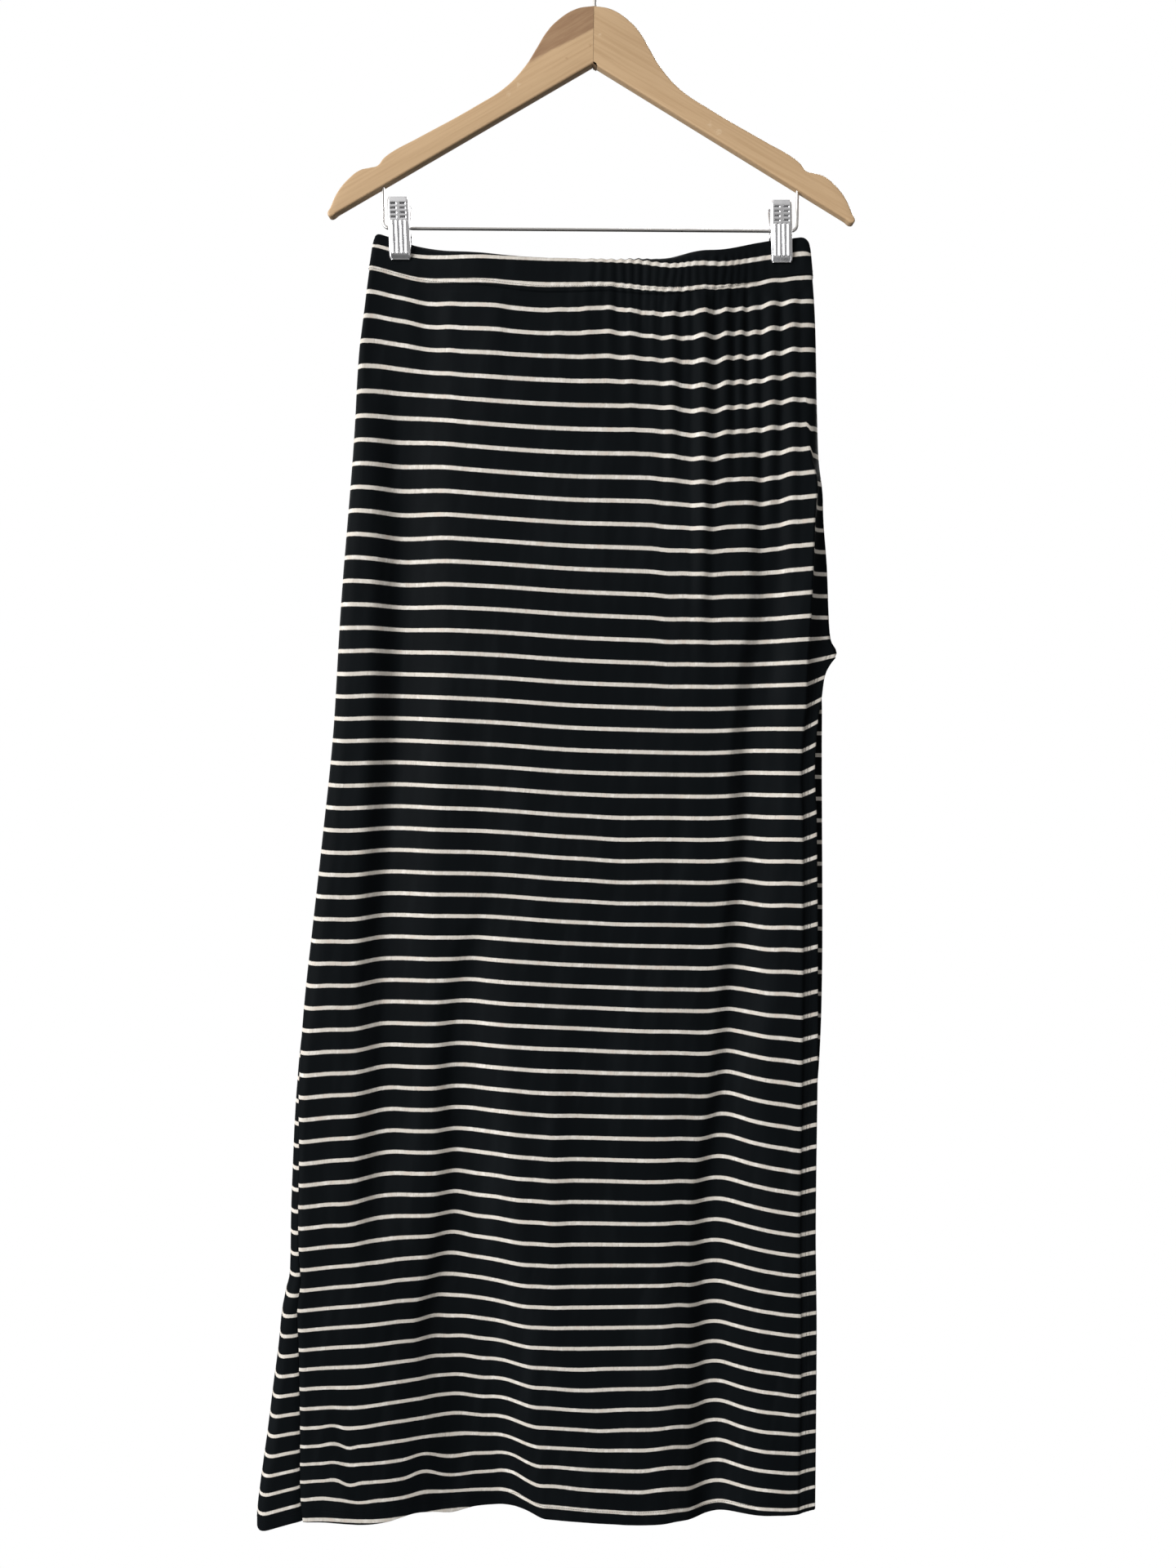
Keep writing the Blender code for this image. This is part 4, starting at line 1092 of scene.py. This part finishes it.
def makeHook():
    radius = hanger["crook"] + hanger["hookWire"] / 2
    crook = arcPoints(0.0, -hanger["crook"], radius, hanger["crookStart"], hanger["tipAngle"], 72)
    lean = 90.0 + hanger["crookStart"]
    bend = crook[0][0] / (1 - math.cos(math.radians(lean)))
    footZ = crook[0][2] - bend * math.sin(math.radians(lean))
    neck = arcPoints(bend, footZ, bend, 180, 180 - lean, 20)
    tip, before = np.array(crook[-1]), np.array(crook[-2])
    step = (tip - before) / np.linalg.norm(tip - before)
    rounding = [tuple(tip + step * d) for d in hanger["tipSteps"]]
    shank = [(0.0, 0.0, hanger["shankEnd"]), (0.0, 0.0, footZ - 1)]
    return makeWire("wireHook", shank + neck + crook[1:] + rounding, hanger["hookWire"], 6,
                    len(rounding))


def makeBar():
    left, right = hanger["barEnds"]
    lowLeft, lowRight = clips["left"][1], clips["right"][1]
    bend, top = hanger["barBend"], hanger["barTop"]
    path = [(left, 0.0, top)] + arcPoints(left + bend, lowLeft + bend, bend, 180, 270, 16)
    path += arcPoints(right - bend, lowRight + bend, bend, 270, 360, 16) + [(right, 0.0, top)]
    return makeWire("clipBar", path, hanger["barWire"], 6)


jaw = {
    "width": 16.9, "plate": 1, "aboveBar": 21.1, "length": 47.4, "lip": 3.4, "lean": 6.9,
    "corner": 1.5, "topTurn": 0.9, "chamfer": 0.9, "flare": 0.5,
    "lowEase": (0, 2.2), "highEase": (45.2, 2.2), "lipEase": (0, 4.6), "topEase": (43.5, 4),
    "heightShare": 0.995, "flangeBend": 0.6,
    "rows": 132, "flatCells": 28, "faceDepth": 0.4, "edgeClear": 0.9, "edgeFade": 0.5,
    "fluteHeight": 0.62, "flutePitch": 3.62, "fluteStart": 4.2, "fluteEnd": 29.6,
    "longSlope": 0.7, "fluteSunk": 1.3, "tongue": 1.6, "tongueFade": 0.9, "endFade": 1,
    "dimpleAcross": 3.75, "dimpleWide": 2.75, "dimpleFade": 0.7, "dimpleTop": 0.95,
    "dimpleDeepest": -0.45, "dimpleBottom": -0.95, "dimples": (42.1, 38.6, 35.2, 31.8),
}
# how far the lip turns in, the depth of the dimples, how far it leans and sits to the right
jawMoods = {"left": (1.3, 1.15, 0.016, 0), "right": (0.7, 0.7, 0.044, 1.2)}
# up from the lip, how far the side flange reaches in
jawFlange = (
    (0, 0.9), (8, 1.3), (19, 2), (23, 4.6), (31, 5), (36, 4.2), (41, 2.6), (47.4, 1.1)
)


def jawRelief(across, up, depth):
    # flutes with a long slope on the left and a short one on the right
    turn, slope = np.mod(across / jaw["flutePitch"], 1.0), jaw["longSlope"]
    ridge = np.where(turn < slope, np.sin(math.pi / 2 * turn / slope),
                     np.cos(math.pi / 2 * (turn - slope) / (1 - slope)))
    fromEdge = jaw["width"] / 2 - jaw["edgeClear"] - np.abs(across)
    tongue = (up - jaw["fluteStart"] - jaw["tongue"] * (1 - ridge)) / jaw["tongueFade"]
    length = smooth(tongue) * smooth((jaw["fluteEnd"] - up) / jaw["endFade"])
    inside = smooth(fromEdge / jaw["edgeFade"])
    raised = jaw["fluteHeight"] * (2 * ridge - jaw["fluteSunk"]) * inside * length
    pressed = 0.0
    for middle in jaw["dimples"]:
        height = up - middle
        upper = (jaw["dimpleTop"] - height) / (jaw["dimpleTop"] - jaw["dimpleDeepest"])
        lower = (height - jaw["dimpleBottom"]) / (jaw["dimpleDeepest"] - jaw["dimpleBottom"])
        trough = np.clip(np.minimum(upper, lower), 0.0, 1.0)
        for sideways in (-jaw["dimpleAcross"], jaw["dimpleAcross"]):
            fromEnd = jaw["dimpleWide"] - np.abs(across - sideways)
            pressed = pressed + trough * smooth(fromEnd / jaw["dimpleFade"])
    return raised - depth * pressed


def makeJaw(sideName, isFront):
    centre, bar = clips[sideName]
    lipTurn, dimpleDepth, slant, shift = jawMoods[sideName]
    lipHeight = bar + jaw["aboveBar"] - jaw["length"]
    up = np.linspace(0, jaw["length"], jaw["rows"])[:, None]
    corner, lean = jaw["corner"], math.radians(jaw["lean"])
    chamfer = jaw["chamfer"] * (1 - ramp(up, *jaw["lowEase"]) + ramp(up, *jaw["highEase"]))
    flare = jaw["flare"] * (1 - up / jaw["length"])
    half = (jaw["width"] - jaw["plate"]) / 2 - chamfer + flare
    middle = (jaw["lip"] + jaw["plate"] / 2 + up * math.sin(lean)
              + lipTurn * ramp(up, *jaw["lipEase"]) - jaw["topTurn"] * ramp(up, *jaw["topEase"]))
    flange = table(jawFlange, 1, up)
    height = lipHeight + up * jaw["heightShare"]
    across, outward = [], []
    for f in np.linspace(0, 1, 5)[:-1]:  # up the flange, from its free edge
        across.append(-half)
        outward.append(-(flange - corner * jaw["flangeBend"]) * (1 - f) - corner)
    for a in np.radians(np.linspace(0, 90, 6)[:-1]):  # round the corner
        across.append(-half + corner * (1 - math.cos(a)))
        outward.append(corner * (math.sin(a) - 1) + 0 * up)
    flat = np.linspace(-1, 0, jaw["flatCells"])[None, :] * (half - corner)
    leftAcross = np.concatenate(across + [flat], axis=1)
    leftOut = np.concatenate(outward + [flat * 0], axis=1)
    x = beside(leftAcross, -leftAcross[:, -2::-1])
    out = beside(leftOut, leftOut[:, -2::-1])
    face = 1 - smooth(-out / jaw["faceDepth"])
    out = out + jawRelief(x, up, dimpleDepth) * face
    x = centre + shift + x + slant * (jaw["length"] / 2 - up)
    points = np.stack([x, (-1 if isFront else 1) * (middle + out), height + 0 * x], -1)
    name = f"clip{sideName.title()}{'Front' if isFront else 'Back'}Jaw"
    mesh = meshFromGrid(name, points[::-1], np.zeros_like(points[..., :2]), flip=not isFront)
    return thickened(name, mesh, jaw["plate"], clipMaterial)


# depth and height above the bar where a leg ends and where it meets the coil
spring = {"wire": 1.15, "radius": 3.3, "turns": 7, "cells": 22, "length": 9.5,
          "legEnd": (5.6, 13), "legFoot": (4.2, 5)}


def makeSpring(sideName):
    centre, bar = clips[sideName]
    path, cells, radius = [], spring["cells"], spring["radius"]
    steps = int(spring["turns"] * cells + cells / 2)
    for i in range(steps + 1):
        angle = 2 * math.pi * i / cells
        path.append((centre - spring["length"] / 2 + spring["length"] * i / steps,
                     -radius * math.cos(angle), bar + radius * math.sin(angle)))
    start = [(path[0][0], -y, bar + z) for y, z in (spring["legEnd"], spring["legFoot"])]
    end = [(path[-1][0], y, bar + z) for y, z in (spring["legFoot"], spring["legEnd"])]
    return makeWire(f"clip{sideName.title()}Spring", start + path + end, spring["wire"], 3)


arms = {side: makeArm(side) for side in (-1, 1)}
glueAndGapShade = makeGlueAndGapShade()
hook, bar = makeHook(), makeBar()
jaws = {(name, isFront): makeJaw(name, isFront) for name in clips for isFront in (True, False)}
springs = {name: makeSpring(name) for name in clips}
print("hanger made")

# Bodies: each piece is attached to the root, and the frame's nodes it replaces are hidden
def nodesOf(start):
    return sorted(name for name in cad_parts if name.startswith(start))


def place(piece, slot, *nodes):
    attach(piece, "root")
    if nodes:
        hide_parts(*nodes)


place(frontPanel, "striped_jersey", *nodesOf("skirt_front"))
place(backPanel, "striped_jersey", *nodesOf("skirt_back"))
place(casing, "striped_jersey", "waistband")
for piece in (casingSewing, hemSewing, slitSewing):
    place(piece, "striped_jersey")
place(arms[-1], "hanger_wood", "hanger_arm_left")
place(arms[1], "hanger_wood", "hanger_arm_right")
place(glueAndGapShade, "hanger_wood")
place(hook, "plated_steel", "hook")
place(bar, "plated_steel", "clip_bar")
for (name, isFront), piece in jaws.items():
    place(piece, "plated_steel", f"clip_{name}_{'front' if isFront else 'back'}_jaw")
for name, piece in springs.items():
    place(piece, "plated_steel", f"clip_{name}_spring")

# Floor, light and camera
studio = {
    "floorHeight": -1.75, "floorSize": 5, "floorTone": (0.05, 0.05, 0.05, 1),
    "white": (1, 1, 1, 1), "skyTone": (1, 0.99, 0.975, 1), "skyTurn": 0.4,
    "below": 0.06, "above": 0.9, "diffuseShare": 0.6, "leftMore": 0.6, "behindMore": 0.3,
    "cameraPlace": (-0.0055, -0.991, -0.623), "cameraTilt": 86, "lens": 27.04, "sensor": 36,
}
# place, what it faces, width and height, power
lights = {
    "keyLight": ((-4, -3.1, -0.4), (0, 0, -0.75), (2.6, 4.5), 330),
    "backLight": ((1.6, 3.4, 1.9), (0, 0, -0.75), (2.6, 2.6), 240),
    "fillLight": ((1.4, -2.4, -1.2), (0, 0, -0.9), (1, 1.6), 8),
}


def makeFloor():
    half = studio["floorSize"] / 2
    mesh = bpy.data.meshes.new("studioFloor")
    corners = [(x * half, y * half, studio["floorHeight"])
               for x, y in ((-1, -1), (1, -1), (1, 1), (-1, 1))]
    mesh.from_pydata(corners, [], [(0, 1, 2, 3)])
    material, tree, shader = newMaterial("palePaper")
    giveInputs(tree, shader, {"Base Color": studio["floorTone"], "Roughness": 1.0,
                              "Specular IOR Level": 0.0})
    # blown out white where it is seen, dull in what it throws back on the object
    seen = addNode(tree, "ShaderNodeEmission", None, {"Color": studio["white"], "Strength": 1.0})
    isCamera = addNode(tree, "ShaderNodeLightPath").outputs["Is Camera Ray"]
    mix = addNode(tree, "ShaderNodeMixShader", None,
                  {0: isCamera, 1: shader.outputs[0], 2: seen.outputs[0]})
    tree.links.new(mix.outputs[0], tree.nodes["Material Output"].inputs[0])
    floor = linked("studioFloor", mesh, material)


def makeWorld():
    world = bpy.data.worlds.new("softStudio")
    bpy.context.scene.world = world
    world.use_nodes = True
    tree = world.node_tree
    tree.nodes.clear()
    direction = addNode(tree, "ShaderNodeTexCoord").outputs["Generated"]
    split = addNode(tree, "ShaderNodeSeparateXYZ", None, {0: direction})
    # brighter from above, the left and behind the skirt, dark from below
    value = mapRange(tree, split.outputs[2], -studio["skyTurn"], studio["skyTurn"],
                     studio["below"], studio["above"])
    for axis, more in ((0, -studio["leftMore"]), (1, studio["behindMore"])):
        brighter = mathNode(tree, "MULTIPLY_ADD", split.outputs[axis], more, 1.0)
        value = mathNode(tree, "MULTIPLY", value, brighter)
    # mirrored at full strength, dimmer as plain light so that folds keep their shadows
    rays = addNode(tree, "ShaderNodeLightPath").outputs
    share = mathNode(tree, "MULTIPLY_ADD", rays["Is Glossy Ray"], 1 - studio["diffuseShare"],
                     studio["diffuseShare"])
    value = mathNode(tree, "MULTIPLY", value, share)
    lit, seen = (addNode(tree, "ShaderNodeBackground", None, {"Strength": strength, "Color": tone})
                 for strength, tone in ((value, studio["skyTone"]), (1.0, studio["white"])))
    mix = addNode(tree, "ShaderNodeMixShader", None,
                  {0: rays["Is Camera Ray"], 1: lit.outputs[0], 2: seen.outputs[0]})
    addNode(tree, "ShaderNodeOutputWorld", None, {0: mix.outputs[0]})


def addLight(name, place, target, size, power):
    data = bpy.data.lights.new(name, "AREA")
    data.shape = "RECTANGLE"
    data.size, data.size_y = size
    data.energy = power
    light = linked(name, data)
    light.location = place
    light.rotation_euler = (Vector(target) - Vector(place)).to_track_quat("-Z", "Y").to_euler()


def makeCamera():
    data = bpy.data.cameras.new("camera")
    data.sensor_fit = "VERTICAL"
    data.sensor_height = studio["sensor"]
    data.lens = studio["lens"]
    camera = linked("camera", data)
    camera.location = studio["cameraPlace"]
    camera.rotation_euler = (math.radians(studio["cameraTilt"]), 0, 0)
    bpy.context.scene.camera = camera


makeFloor()
makeWorld()
for name, settings in lights.items():
    addLight(name, *settings)
makeCamera()
bpy.context.scene.view_settings.view_transform = "Standard"
print("studio made")
